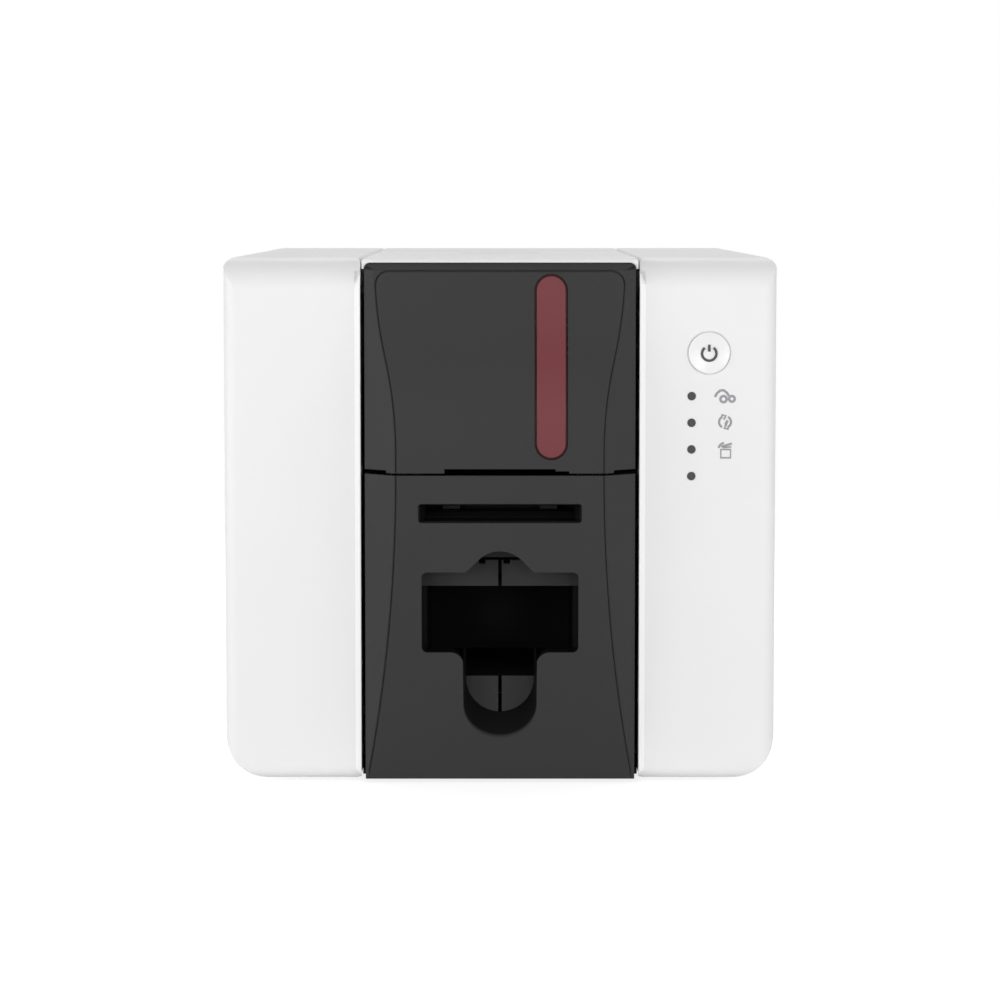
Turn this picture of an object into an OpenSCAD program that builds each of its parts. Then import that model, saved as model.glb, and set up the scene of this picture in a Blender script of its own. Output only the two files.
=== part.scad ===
// A compact ID card printer: a white case with a black centre strip, a lid that lifts
// with the print head, a card path on driven rollers, a ribbon on two spools, a card
// feeder behind a rear door and an output bin behind the front panel.
//
// X runs across, Y from front to back, Z up from the table. Origin: on the table, under
// the middle of the case. Lengths are in millimetres, angles in degrees.

/* [Case] */
// Width of the case
case_w = 205; // [200:1:220]
// Height of the case above the table
case_h = 196; // [192:1:206]
// Depth of the case, from the fullest point of the front to the back
case_d = 310; // [306:1:330]
// Thickness of the moulded walls
wall = 2.4; // [1.8:0.1:2.8]
// Radius of the case's lower corners, seen from the front
bottom_r = 17; // [8:1:24]
// Radius of the side covers' edges beside the centre strip
inner_r = 2.2; // [1:0.1:2.4]
// Radius of the case's top edge at the front and at the back
top_r = 12; // [6:1:14]
// Radius of the case's outer edges
edge_r = 4.5; // [2:0.5:6]
// Height of the rubber feet below the case
foot_h = 1.6; // [1:0.2:4]

/* [Centre strip] */
// Width of the black centre strip
strip_w = 100.4; // [98.8:0.2:101]
// Gap between the centre strip and the white side covers
strip_gap = 1.5; // [1:0.1:2]
// Gap between the lid's white top and the side covers
lid_gap = 0.5; // [0.4:0.1:1]
// How far the strip stands proud of the side covers at its fullest point
bulge = 10; // [9:0.5:12]
// Width of the strip's face between its side bevels, at its fullest point
face_w = 78; // [70:0.2:84]
// How far the face falls back at the foot
foot_drop = 9.8; // [5:0.1:10]
// How far the face falls back at the top
top_drop = 7; // [4:0.2:8]
// Width of the shadow groove along the side edges of the face
groove_w = 0.35; // [0.2:0.05:0.6]
// Depth of that groove
groove_d = 0.8; // [0.4:0.1:1.2]
// Height of the joint between lid and front panel
split_z = 116.4; // [113:0.2:120]
// Gap at that joint
split_gap = 0.8; // [0.6:0.1:1.4]
// Height of the white edge above the lid's black front
top_edge = 2; // [1.8:0.1:2.3]
// Radius of the black front's upper corners
corner_r = 2.2; // [1:0.1:3]
// Width of the finger recess under the lid
recess_w = 41; // [20:1:60]
// Height of that recess
recess_h = 1.6; // [0.6:0.1:2]

/* [Window] */
// Width of the tinted window
window_w = 12.2; // [8:0.2:16]
// Distance of the window's middle from the middle of the strip
window_x = 18.9; // [10:0.1:24]
// Distance of the window's lower end above the joint
window_rise = 5.4; // [4:0.2:14]
// Distance of the window's upper end below the top of the case
window_drop = 6; // [5.6:0.2:30]
// Width of the window's sunk rim
rim_w = 0.7; // [0.4:0.1:1.2]

/* [Card path] */
// Height of the card plane
card_z = 102; // [100.6:0.1:103]
// Width of the entry slot's mouth
slot_w = 60.4; // [58:0.2:64]
// Height of the entry slot's mouth
slot_h = 7; // [6.4:0.1:8]
// Width of the way through behind the mouth
throat_w = 55.4; // [55.4:0.2:57.6]
// Height of that way
throat_h = 5; // [4.6:0.1:5.4]
// Radius of the driven rollers
roller_r = 7; // [6:0.1:7.4]
// Radius of their shafts
shaft_r = 3; // [2.5:0.1:3.5]
// Radial clearance of a shaft that turns in a bore
running = 0.05; // [0.03:0.01:0.09]
// Gap between a driven roller and the roller above it
nip = 0.3; // [0.2:0.05:0.6]

/* [Output bin] */
// Width of the bin's mouth
mouth_w = 58; // [56:0.2:62]
// Height of the mouth's upper edge
mouth_top = 80; // [78:0.2:82]
// Height of the lip that keeps the cards in
mouth_low = 50; // [47:0.2:52]
// Width of the thumb notch below the mouth
notch_w = 27; // [22:0.5:30]
// Height of the notch's lowest point
notch_low = 17.5; // [12:0.5:21]
// How far the notch's floor climbs on its way in
notch_rise = 8.7; // [5:0.1:10.5]
// Height of the finger arch above the mouth
arch_h = 7.9; // [5:0.1:8.2]
// Radius of the finger arch
arch_r = 11.3; // [10:0.1:14]
// Distance from the face of the strip to the bin's plate
plate_depth = 17.4; // [14:0.2:20]
// Height of the bin's floor
bin_floor = 39.4; // [37:0.2:42]
// Height of the opening in the bin's plate
plate_open_top = 73.3; // [70:0.1:76]
// Inner width of the bin
bin_w = 55; // [54.6:0.1:55.6]

/* [Controls] */
// Radius of the power button
button_r = 7.7; // [5:0.1:9]
// Distance of the button from the middle of the case
button_x = 77.4; // [66:0.2:88]
// Distance of the button's middle below the top of the case
button_drop = 35.2; // [24:0.2:40]
// Travel of the power button
button_travel = 1.2; // [0.6:0.1:1.6]
// Radius of a status light
light_r = 1.6; // [1:0.1:2]
// Distance of the status lights from the middle of the case
light_x = 71; // [62:0.2:90]
// Distance of the highest light below the button's middle
light_drop = 16; // [14:0.2:20]
// Distance between the lights
light_pitch = 9.9; // [8:0.1:12]
// Number of lights
light_n = 4; // [1:1:5]

/* [Lid] */
// Distance of the lid's hinge behind the middle of the case
hinge_y = 52; // [50:0.5:54]
// Distance of the hinge's axis below the top of the case
hinge_drop = 6.5; // [6:0.1:7.4]
// Radius of the hinge shaft
hinge_r = 2.5; // [2:0.1:3]
// Width of the release button on top of the lid
release_w = 32; // [20:1:40]
// Length of the release button
release_l = 13; // [10:0.5:14]
// Travel of the release button
release_travel = 2.4; // [1.5:0.1:2.6]

/* [Gears] */
// Module of the gear teeth
tooth = 1; // [1:1:1]
// Teeth of a roller's gear
roller_teeth = 24; // [24:1:24]
// Teeth of the idlers between the front rollers
idler_teeth = 32; // [32:1:32]
// Teeth of the idler that reaches the pick roller
long_teeth = 60; // [60:1:60]
// Teeth of the motor pinions
pinion_teeth = 16; // [16:1:16]
// Width of the gears
gear_w = 5; // [4:0.2:5.4]
// Play between meshing teeth
backlash = 0.22; // [0.15:0.01:0.3]

/* [Hidden] */
$fn = 64;
fine = 200;              // segments of the long arcs of the face
tiny = 0.01;             // how far a cutter passes the face that it cuts
fit = 0.3;               // gap between pieces that are set close together
snug = 0.1;              // gap between pieces of one body that are fixed together

half_w = case_w / 2;
front_y = -case_d / 2;
rear_y = case_d / 2;
front_top_z = case_h - top_edge;
window_low = split_z + window_rise;
window_high = case_h - window_drop;
button_z = case_h - button_drop;
light_z = button_z - light_drop;
hinge_z = case_h - hinge_drop;
side_y = front_y + bulge;           // front plane of the side covers
strip_half = strip_w / 2;
face_half = face_w / 2;
cover_x = strip_half + strip_gap;   // inner edge of the side covers
lid_half = cover_x - lid_gap;       // half width of the lid's white top
return_d = 11;                      // depth of the strip's side returns behind side_y
bevel_run = (strip_half - face_half) / bulge;
lower_r = arc_radius(split_z - foot_h, foot_drop);
// The lid's face rises straight, then falls back in an S of two equal arcs.
bend_z = split_z + 8;
bend_turn = 2 * atan(top_drop / (front_top_z - bend_z));
bend_r = (front_top_z - bend_z) / 2 / sin(bend_turn);

frame_x = strip_half - 9.2;         // inner face of the frames
frame_front = side_y + 7.2;
frame_t = 3;
frame_out = frame_x + frame_t;
floor_z = foot_h + wall;            // top of the case's bottom wall
axle_z = card_z - roller_r;         // height of the driven shafts
entry_y = front_y + 37;
idler_r = tooth * idler_teeth / 2;
drive_r = tooth * roller_teeth / 2;
long_r = tooth * long_teeth / 2;
pinion_r = tooth * pinion_teeth / 2;
step_y = 2 * (idler_r + drive_r);   // distance between two front rollers
platen_y = entry_y + step_y;
transport_y = platen_y + step_y;
pick_y = transport_y + 2 * (long_r + drive_r);
gear_x = frame_out + 1.2;           // left face of the gears
gear_end = gear_x + gear_w;
post_r = 2.5;
gear_plate_x = gear_end + 1.8;
gear_plate_t = 1.5;
gear_plate_top = card_z + 47.5;     // its highest part, round the ribbon's gears
motor_y = platen_y + step_y / 2;
motor_z = axle_z - idler_r - pinion_r;

deck_top = card_z - 0.7;
deck_t = 2.2;
deck_low = deck_top - deck_t;
feeder_front = pick_y - 20;         // front wall of the feeder
feeder_back = rear_y - 9.6;
feeder_top = case_h - 43;

spool_z = card_z + 31.5;
takeup_y = entry_y + 10;
takeup_r = 11;
supply_y = platen_y + 47;
supply_r = 15;
core_r = 8;
journal_r = 4;
ribbon_half = 29.5;
web_t = 0.25;
front_rod = [platen_y - 22, card_z + 9.5];
rear_rod = [platen_y + 20, card_z + 4.5];
rod_r = 2;
ribbon_motor_y = takeup_y + idler_r + pinion_r;

frame_top = spool_z + 10;
latch_y = platen_y + 32;
latch_z = case_h - 24;
catch_z = card_z + 33;
diverter_y = entry_y + 20;
diverter_z = card_z - 6;
door_y = rear_y - 5.5;
door_z = card_z + 3.5;
door_low = door_z - 3.4;
door_top = case_h - top_r - 1.4;
lid_back = hinge_y;
lid_under = case_h - wall;          // underside of the lid's top wall
liner_low = case_h - 19;
rear_cover_y = hinge_y + case_h - hinge_z - 0.4;
plate_y = front_y + plate_depth;
head_low = card_z + 0.95;
head_y = platen_y;

function arc_radius(height, drop) = (height * height + drop * drop) / (2 * drop);
function polar(r, a) = [r * cos(a), r * sin(a)];
// The line that touches two circles on the side that lies clockwise of the way from a to b.
function unit(v) = v / norm(v);
function touch_normal(a, ra, b, rb) =
    let (h = unit(b - a), s = (ra - rb) / norm(b - a))
    h * s + [h[1], -h[0]] * sqrt(1 - s * s);
// The same, on the other side.
function touch_normal_left(a, ra, b, rb) =
    let (h = unit(b - a), s = (ra - rb) / norm(b - a))
    h * s + [-h[1], h[0]] * sqrt(1 - s * s);

// ---- helpers: a flat outline is pushed along one axis ----
module along_x(x0, x1) {
    translate([x0, 0, 0]) rotate([90, 0, 90]) linear_extrude(x1 - x0) children();
}
module along_y(y0, y1) {
    translate([0, y1, 0]) rotate([90, 0, 0]) linear_extrude(y1 - y0) children();
}
module along_z(z0, z1) {
    translate([0, 0, z0]) linear_extrude(z1 - z0) children();
}
module box(low, high) {
    translate(low) cube(high - low);
}
module rod_x(x0, x1, at, r) {
    translate([x0, at[0], at[1]]) rotate([0, 90, 0]) cylinder(h = x1 - x0, r = r);
}
module rod_y(y0, y1, at, r) {
    translate([at[0], y1, at[1]]) rotate([90, 0, 0]) cylinder(h = y1 - y0, r = r);
}
module rod_z(z0, z1, at, r) {
    translate([at[0], at[1], z0]) cylinder(h = z1 - z0, r = r);
}
module both_sides() {
    children();
    mirror([1, 0, 0]) children();
}
module nook(r) {
    if (r > 0) difference() {
        translate([-1, -1]) square(r + 1);
        translate([r, r]) circle(r = r);
    }
}
// A rectangle with its own radius at each corner: lower left, lower right, upper right, upper left.
module panel(low, high, r) {
    difference() {
        translate(low) square(high - low);
        translate(low) nook(r[0]);
        translate([high[0], low[1]]) mirror([1, 0]) nook(r[1]);
        translate(high) rotate(180) nook(r[2]);
        translate([low[0], high[1]]) mirror([0, 1]) nook(r[3]);
    }
}
module stadium(low, high) {
    r = (high[0] - low[0]) / 2;
    translate([low[0], low[1] + r]) square([2 * r, high[1] - low[1] - 2 * r]);
    for (z = [low[1] + r, high[1] - r]) translate([low[0] + r, z]) circle(r = r);
}

// ---- the case ----
// One side of the case as a solid body, drawn in by t on every face.
module side_body(t) {
    r = max(edge_r - t, 0.5);
    q = max(inner_r - t, 0);
    intersection() {
        along_y(front_y, rear_y)
            panel([cover_x + t, foot_h + t], [half_w - t, case_h - t], [q, bottom_r - t, r, q]);
        along_x(cover_x, half_w + 1)
            panel([side_y + t, foot_h + t], [rear_y - t, case_h - t],
                [r, r, top_r - t, top_r - t]);
        along_z(0, case_h + 1)
            panel([cover_x + t, side_y + t], [half_w - t, rear_y - t], [q, r, r, q]);
    }
}
// The lower edge of the inner flange beside the lid: above the feeder and the gear plate.
well_low = max(feeder_top, gear_plate_top + 3);
module side_cover() {
    difference() {
        side_body(0);
        side_body(wall);
        // The inner side is open below the flange that lines the lid's well.
        box([cover_x - 1, side_y + 16, floor_z + 3], [cover_x + wall + 1, rear_y - 7, well_low]);
        for (y = [-foot_y, foot_y]) rod_z(foot_h - 1, floor_z + 1, [foot_x, y], foot_stem_r);
    }
}
foot_x = half_w - 22.5;
foot_y = case_d / 2 - 37;
foot_r = 6;
foot_stem_r = 2.5;
module left_cover() {
    color("whitesmoke") mirror([1, 0, 0]) side_cover();
}
module right_cover() {
    color("whitesmoke") {
        difference() {
            side_cover();
            rod_y(side_y - 1, side_y + wall + 1, [button_x, button_z], button_r + fit);
            for (i = [0 : light_n - 1])
                rod_y(side_y - 1, side_y + wall + 1, [light_x, light_z - i * light_pitch], light_r);
        }
        // Bosses that carry the control board.
        for (p = control_posts) rod_y(side_y + wall - tiny, control_y, p, 2.5);
    }
}
control_y = side_y + wall + 8;
control_posts = [[button_x + 9, button_z - 14], [button_x + 9, light_z - 2.5 * light_pitch]];
module rubber_feet() {
    color("dimgray") for (x = [-foot_x, foot_x], y = [-foot_y, foot_y]) {
        rod_z(0, foot_h, [x, y], foot_r);
        rod_z(foot_h - tiny, floor_z + 0.6, [x, y], foot_stem_r);
    }
}
tray_rail_t = 2;
module base_tray() {
    color("#2c2c2e") {
        box([-cover_x + snug, strip_back + snug, foot_h],
            [cover_x - snug, rear_y - wall - snug, floor_z]);
        // A rail on each side of the frames, and ribs between them.
        both_sides() {
            box([frame_out + snug, strip_back + snug, floor_z - tiny],
                [frame_out + snug + tray_rail_t, rear_y - 7, floor_z + 8]);
            box([frame_x - snug - tray_rail_t, strip_back + snug, floor_z - tiny],
                [frame_x - snug, rear_y - 7, floor_z + 8]);
        }
        for (y = [front_y + 45 : 44 : board_front - 18])
            box([-frame_x + 2, y, floor_z - tiny], [frame_x - 2, y + tray_rail_t, floor_z + 6]);
        // Posts for the main board, bored for its screws.
        difference() {
            for (p = board_holes) rod_z(floor_z - tiny, board_z, p, 3);
            for (p = board_holes) rod_z(board_z - 6, board_z + 1, p, 1.5);
        }
    }
}

// ---- the centre strip: a bulged side profile crossed with a plan that has bevelled sides ----
module upper_side(t) {
    middle = (bend_z + front_top_z) / 2 - t * sin(bend_turn);
    back = front_y + 40;
    intersection() {
        translate([front_y + bend_r, bend_z]) circle(r = bend_r - t, $fn = fine);
        translate([front_y, bend_z]) square([40, middle - bend_z]);
    }
    translate([front_y + t, foot_h]) square([40 - t, bend_z - foot_h + tiny]);
    difference() {
        translate([front_y, middle - tiny]) square([40, case_h - middle]);
        translate([front_y + top_drop - bend_r, front_top_z]) circle(r = bend_r + t, $fn = fine);
    }
}
module lower_side(t) {
    translate([front_y + t + lower_r, split_z]) circle(r = lower_r, $fn = fine);
}
module strip_plan(t, back) {
    shift = t * (sqrt(1 + bevel_run * bevel_run) - 1) / bevel_run;
    ahead = bulge + 4;
    side = strip_half - t;
    tip = side - ahead * bevel_run;
    polygon([[side, back], [side, side_y + shift], [tip, side_y + shift - ahead],
        [-tip, side_y + shift - ahead], [-side, side_y + shift], [-side, back]]);
}
strip_back = side_y + return_d;
top_bevel = [4, 2.4];               // how far the lid's face slants back and down at its top
module lid_front_body(t, low, high) {
    intersection() {
        along_x(-strip_half, strip_half) intersection() {
            upper_side(t);
            translate([front_y - 1, low]) square([strip_back - front_y + 1, high - low]);
        }
        along_z(low, high) strip_plan(t, strip_back + (t > 0 ? 1 : 0));
    }
}
module lid_front() {
    low = split_z + split_gap / 2;
    top_front = front_y + top_drop;
    color("#3a3a3b") difference() {
        lid_front_body(0, low, front_top_z);
        lid_front_body(wall, low - 1, front_top_z - wall);
        // The slanting band along the top of the face.
        along_x(-half_w, half_w) polygon([
            [top_front - 5, front_top_z - top_bevel[1] - 5 * top_bevel[1] / top_bevel[0]],
            [top_front + top_bevel[0], front_top_z + tiny], [top_front - 5, front_top_z + 5]]);
        // The rounded upper corners.
        along_y(front_y - 1, strip_back + 1) difference() {
            translate([-half_w, front_top_z - 2 * corner_r]) square([2 * half_w, 3 * corner_r]);
            panel([-strip_half, 0], [strip_half, front_top_z], [0, 0, corner_r, corner_r]);
        }
        along_y(front_y - 1, front_y + 14) window_outline(0);
        // The finger recess along the lower edge, stepped down at its right end, and the
        // edge's rise beside the face.
        box([-recess_w / 2, front_y - 1, low - 1], [recess_w / 2, front_y + 8, low + recess_h]);
        box([recess_w / 2 - 1, front_y - 1, low - 1],
            [recess_w / 2 + 5, front_y + 8, low + recess_h / 2]);
        both_sides() box([face_half + 3, front_y - 1, low - 1],
            [half_w, strip_back + 1, low + 0.6 * recess_h]);
        edge_groove() upper_side(groove_d);
        // At the top the groove turns in with a round and runs across the face.
        difference() {
            along_y(front_y - 1, front_y + 14) difference() {
                face_top(0);
                face_top(groove_x);
            }
            along_x(-half_w, half_w) upper_side(groove_d);
        }
    }
}
turn_r = 5;                         // round of the face's upper corners
turn_z = front_top_z - top_bevel[1] - 0.3;
groove_x = groove_w * sqrt(1 + bevel_run * bevel_run);
// Half width of the face inside its groove, where the groove turns in.
turn_half = face_half + bevel_run * (top_drop - bend_r
    + sqrt(bend_r * bend_r - pow(front_top_z - turn_z + turn_r, 2))) - groove_x;
module face_top(t) {
    intersection() {
        panel([-turn_half + t, 0], [turn_half - t, turn_z - t], [0, 0, turn_r - t, turn_r - t]);
        translate([-half_w, turn_z - turn_r]) square([2 * half_w, turn_r]);
    }
}
// The shadow groove along the side edges of the face: a slot that runs in beside the bevel.
module edge_groove() {
    difference() {
        intersection() {
            along_z(foot_h - 1, case_h) strip_plan(groove_w, strip_back);
            box([-half_w, front_y - 1, 0], [half_w, strip_back - 1, case_h]);
        }
        along_z(0, case_h + 1) strip_plan(2 * groove_w, strip_back + 1);
        along_x(-half_w, half_w) children();
        // It ends where the bevel does, and where it turns in.
        box([-half_w, front_y - 1, turn_z - turn_r], [half_w, strip_back + 1, case_h + 1]);
        both_sides() box([strip_half - 1.2, front_y - 1, 0], [half_w, strip_back + 1, case_h + 1]);
    }
}
module window_outline(clearance) {
    r = window_w / 2 - clearance;
    stadium([window_x - r, window_low + clearance], [window_x + r, window_high - clearance]);
}
module lid_window() {
    color("#6e2a30") difference() {
        intersection() {
            lid_front_body(0.1, split_z, front_top_z);
            along_y(front_y - 1, front_y + 14) window_outline(snug);
        }
        lid_front_body(wall + 0.8, split_z - 1, front_top_z + 1);
        // The sunk rim.
        difference() {
            along_y(front_y - 1, front_y + 14) window_outline(0);
            along_y(front_y - 2, front_y + 15) window_outline(snug + rim_w);
            lid_front_body(0.9, split_z, front_top_z);
        }
    }
}
// The front panel, with the entry slot, the bin's mouth and the thumb notch.
module front_panel_body(t, low, high) {
    intersection() {
        along_x(-strip_half, strip_half) intersection() {
            lower_side(t);
            translate([front_y - 1, low]) square([strip_back - front_y + 1, high - low]);
        }
        along_z(low, high) strip_plan(t, strip_back + (t > 0 ? 1 : 0));
    }
}
module mouth_outline(grow) {
    r = 2 + grow;
    flare = 4.4;                    // width of the slanting ends of the arch
    difference() {
        union() {
            panel([-mouth_w / 2 - grow, mouth_low - grow], [mouth_w / 2 + grow, mouth_top + grow],
                [r, r, r, r]);
            intersection() {
                translate([0, mouth_top + arch_h - arch_r]) circle(r = arch_r + grow);
                translate([-arch_r * 2, mouth_top - 1]) square([arch_r * 4, arch_h * 2]);
            }
            arch_half = sqrt(arch_r * arch_r - pow(arch_r - arch_h, 2));
            translate([0, mouth_top]) polygon([[-arch_half - flare + 2.6 - grow, -1],
                [-arch_half - flare + 2.6 - grow, grow], [-arch_half + 2.4 - grow, 4.2 + grow],
                [arch_half - 2.4 + grow, 4.2 + grow], [arch_half + flare - 2.6 + grow, grow],
                [arch_half + flare - 2.6 + grow, -1]]);
        }
    }
}
notch_top = mouth_low + 3;
module notch_outline(low, half) {
    translate([-half, low + half]) square([2 * half, notch_top - low - half]);
    translate([0, low + half]) circle(r = half, $fn = 48);
}
// The thumb notch is a channel that climbs from the face on its way in, between two slices.
notch_y = front_y + lower_r - sqrt(lower_r * lower_r - pow(split_z - notch_low, 2));
module notch_channel(grow, front, back) {
    hull() for (y = [front, back - tiny]) {
        way = (y - notch_y) / (plate_y - notch_y);
        along_y(y, y + tiny)
            notch_outline(notch_low + notch_rise * way - grow, notch_w / 2 - 0.8 * way + grow);
    }
}
module notch_shoulders(r) {
    // The corners where the notch meets the mouth's lower edge are rounded over.
    for (s = [-1, 1]) translate([s * notch_w / 2, mouth_low]) mirror([s > 0 ? 0 : 1, 0])
        translate([-tiny, tiny]) difference() {
            translate([0, -r]) square([r, r + tiny]);
            translate([r, -r]) circle(r = r);
        }
}
module front_panel() {
    low = foot_h;
    high = split_z - split_gap / 2;
    channel_back = plate_y - fit;
    color("#3a3a3b") difference() {
        union() {
            difference() {
                front_panel_body(0, low, high);
                front_panel_body(wall, low + wall, high + 1);
            }
            // Walls of the thumb notch and of the mouth, and of the entry slot.
            intersection() {
                union() {
                    notch_channel(1.6, front_y, channel_back);
                    along_y(front_y, channel_back)
                        panel([-mouth_w / 2 - 1.6, mouth_low - 1.6], [mouth_w / 2 + 1.6, notch_top + 2],
                            [3, 3, 0, 0]);
                    along_y(front_y, front_y + 12)
                        panel([-slot_w / 2 - 1.6, card_z - slot_h / 2 - 1.6],
                            [slot_w / 2 + 1.6, card_z + slot_h / 2 + 1.6], [2, 2, 2, 2]);
                }
                front_panel_body(0.5, low, high);
                box([-half_w, front_y, 0], [half_w, channel_back, high]);
            }
        }
        notch_channel(0, front_y - 1, channel_back + 1);
        along_y(front_y - 1, channel_back + 1) notch_shoulders(5);
        along_y(front_y - 1, channel_back + 1) mouth_outline(0);
        slot_cutter();
        edge_groove() lower_side(groove_d);
    }
}
// The entry slot narrows from its mouth to the way through.
module slot_cutter() {
    mouth_d = 8;
    along_y(front_y - 1, front_y + 2.2)
        panel([-slot_w / 2, card_z - slot_h / 2], [slot_w / 2, card_z + slot_h / 2],
            [1.2, 1.2, 1.2, 1.2]);
    hull() {
        along_y(front_y + 2.1, front_y + 2.2) translate([0, card_z])
            square([slot_w - 1, slot_h - 0.8], center = true);
        along_y(front_y + mouth_d, front_y + mouth_d + 0.1) translate([0, card_z])
            square([throat_w, throat_h], center = true);
    }
    along_y(front_y, front_y + 14) translate([0, card_z]) square([throat_w, throat_h], center = true);
}
// The bin that printed cards drop into. Its front plate shows behind the mouth.
bin_back = platen_y + 6;
bin_wall = 2;
plate_t = 2.5;
module card_bin() {
    half = bin_w / 2;
    plate_top = mouth_top + arch_h + 1;
    plate_joint = mouth_top + 3.6;
    ceiling_back = entry_y + 5;
    bin_top = axle_z - roller_r - 1.6;
    color("#4a4a4c") difference() {
        union() {
            box([-frame_x + snug, plate_y, floor_z + 8.5],
                [frame_x - snug, plate_y + plate_t, plate_top]);
            // Ledges that rest on the frames' inner faces.
            both_sides() box([half + 1, plate_y, bin_floor - bin_wall],
                [frame_x - snug, bin_back, bin_floor]);
            box([-half - bin_wall, plate_y, bin_floor - bin_wall],
                [half + bin_wall, bin_back, plate_open_top + bin_wall]);
            // The back wall, with webs at its ends.
            box([-half - bin_wall, bin_back - bin_wall, bin_floor],
                [half + bin_wall, bin_back, bin_top]);
            along_x(-half - bin_wall, half + bin_wall) polygon([[bin_back - 22, bin_floor],
                [bin_back, bin_floor], [bin_back, bin_top], [bin_back - bin_wall, bin_top]]);
        }
        box([-half, plate_y - 1, bin_floor], [half, bin_back - bin_wall, plate_open_top]);
        // In the plate the opening is wider than the mouth before it.
        box([-mouth_w / 2 - 1, plate_y - 1, bin_floor],
            [mouth_w / 2 + 1, plate_y + plate_t, plate_open_top]);
        // Cards drop in behind the short ceiling.
        box([-half, ceiling_back, bin_floor], [half, bin_back - bin_wall - 20, deck_low]);
        along_x(-half, half) polygon([[ceiling_back, bin_floor + 13],
            [bin_back - bin_wall, bin_floor + 13], [bin_back - bin_wall, deck_low],
            [ceiling_back, deck_low]]);
        // The seam down the middle of the plate.
        box([-0.65, plate_y - 1, floor_z], [0.65, plate_y + plate_t + 4, plate_joint]);
        // The joint across the plate, under the finger arch, with its two notches.
        box([-arch_r - 3, plate_y - 1, plate_joint - 0.5],
            [arch_r + 3, plate_y + plate_t + 1, plate_joint + 0.5]);
        for (x = [-6.7, 2.5]) box([x - 1.2, plate_y - 1, plate_joint - 1.9],
            [x + 1.2, plate_y + plate_t + 1, plate_joint]);
    }
}

// ---- the frames and what they carry ----
module frame_outline() {
    difference() {
        union() {
            translate([frame_front, floor_z]) square([rear_y - 7 - frame_front, split_z - floor_z - 4]);
            translate([side_y + 15, axle_z]) square([frame_step - side_y - 15, frame_top - axle_z]);
            translate([frame_step, axle_z]) square([rear_y - 7 - frame_step, feeder_top - axle_z]);
            // The ear that holds the hinge shaft.
            polygon([[hinge_y - 32, frame_top - 2], [hinge_y - 8, frame_top - 2],
                [hinge_y + 0.5, hinge_z - 4.3], [hinge_y - 4.4, hinge_z - 0.9]]);
            translate([hinge_y, hinge_z]) circle(r = 4.5);
        }
        // Clear of the door's lower edge, but for the lobe that holds the door's pin.
        difference() {
            translate([door_y, door_z]) circle(r = 6.9);
            translate([door_y, door_z]) circle(r = 2.7);
            translate([door_y - 8, door_z - 2.7]) square([8, 5.4]);
        }
        translate([door_y - 2, door_z + 2.7]) square([8, 5]);
        for (y = drive_places) translate([y, axle_z]) circle(r = bush_r);
        translate([entry_y, pinch_z]) circle(r = 2 + running);
        translate([transport_y, cleaner_z]) circle(r = 2.5 + running);
        translate([diverter_y, diverter_z]) circle(r = 2 + running);
        translate([latch_y, catch_z]) circle(r = 2);
        translate([hinge_y, hinge_z]) circle(r = hinge_r);
        translate([door_y, door_z]) circle(r = 1.5);
        for (p = [front_rod, rear_rod]) translate(p) circle(r = rod_r);
        for (y = [takeup_y, supply_y]) {
            translate([y, spool_z]) circle(r = journal_r + running);
            translate([y - journal_r - running, spool_z])
                square([2 * (journal_r + running), frame_top]);
        }
        // Windows that lighten the plate.
        for (i = [0 : frame_windows - 1]) translate([frame_front + 16 + i * frame_pitch, 28])
            square(frame_window);
    }
}
frame_step = feeder_front - 18;     // where the frames step up beside the feeder
frame_windows = 5;
frame_window = [38, 26];
frame_pitch = (rear_y - 7 - frame_front) / (frame_windows + 0.7);
bush_r = 5;
drive_places = [entry_y, platen_y, transport_y, pick_y];
pinch_r = 5;
pinch_z = card_z + nip + pinch_r;
cleaner_r = 7;
cleaner_z = card_z + nip + cleaner_r;
module left_frame() {
    color("#55565a") along_x(-frame_out, -frame_x) frame_outline();
}
module right_frame() {
    color("#55565a") along_x(frame_x, frame_out) difference() {
        frame_outline();
        for (p = gear_post_places) translate(p) circle(r = post_r);
        for (p = plate_post_places) translate(p) circle(r = 1.5);
    }
}
gear_post_places = [[entry_y + step_y / 2, axle_z], [motor_y, axle_z],
    [transport_y + drive_r + long_r, axle_z]];
plate_post_places = [[entry_y - 4, axle_z - 19.5], [entry_y - 4, axle_z + 19.5],
    [motor_y - 22, motor_z - 11], [motor_y + 26, motor_z - 11], [pick_y - 6, axle_z - 19.5],
    [takeup_y + 50, spool_z + 4]];
// Pins that stand on the frames: gear posts, plate posts, catches and door pins.
module frame_pins() {
    color("silver") {
        for (p = gear_post_places) rod_x(frame_x, gear_plate_x, p, post_r);
        for (p = plate_post_places) {
            rod_x(frame_x, frame_out, p, 1.5);
            difference() {
                rod_x(frame_out - tiny, gear_plate_x, p, 3);
                rod_x(gear_plate_x - 3, gear_plate_x + 1, p, 1.5);
            }
        }
        both_sides() rod_x(frame_x, frame_out + 4.2, [latch_y, catch_z], 2);
        both_sides() rod_x(frame_x, strip_half - 0.8, [door_y, door_z], 1.5);
    }
}
module hinge_shaft() {
    color("silver") rod_x(-frame_out - 1, frame_out + 1, [hinge_y, hinge_z], hinge_r);
}
module guide_rods() {
    color("silver") for (p = [front_rod, rear_rod]) rod_x(-frame_out, frame_out, p, rod_r);
}
module shaft_bushes() {
    color("peru") both_sides() for (y = drive_places) difference() {
        union() {
            rod_x(frame_x, frame_out, [y, axle_z], bush_r);
            rod_x(frame_x - 0.8, frame_x, [y, axle_z], bush_r + 1.2);
        }
        rod_x(frame_x - 2, frame_out + 1, [y, axle_z], shaft_r + running);
    }
}
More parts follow.
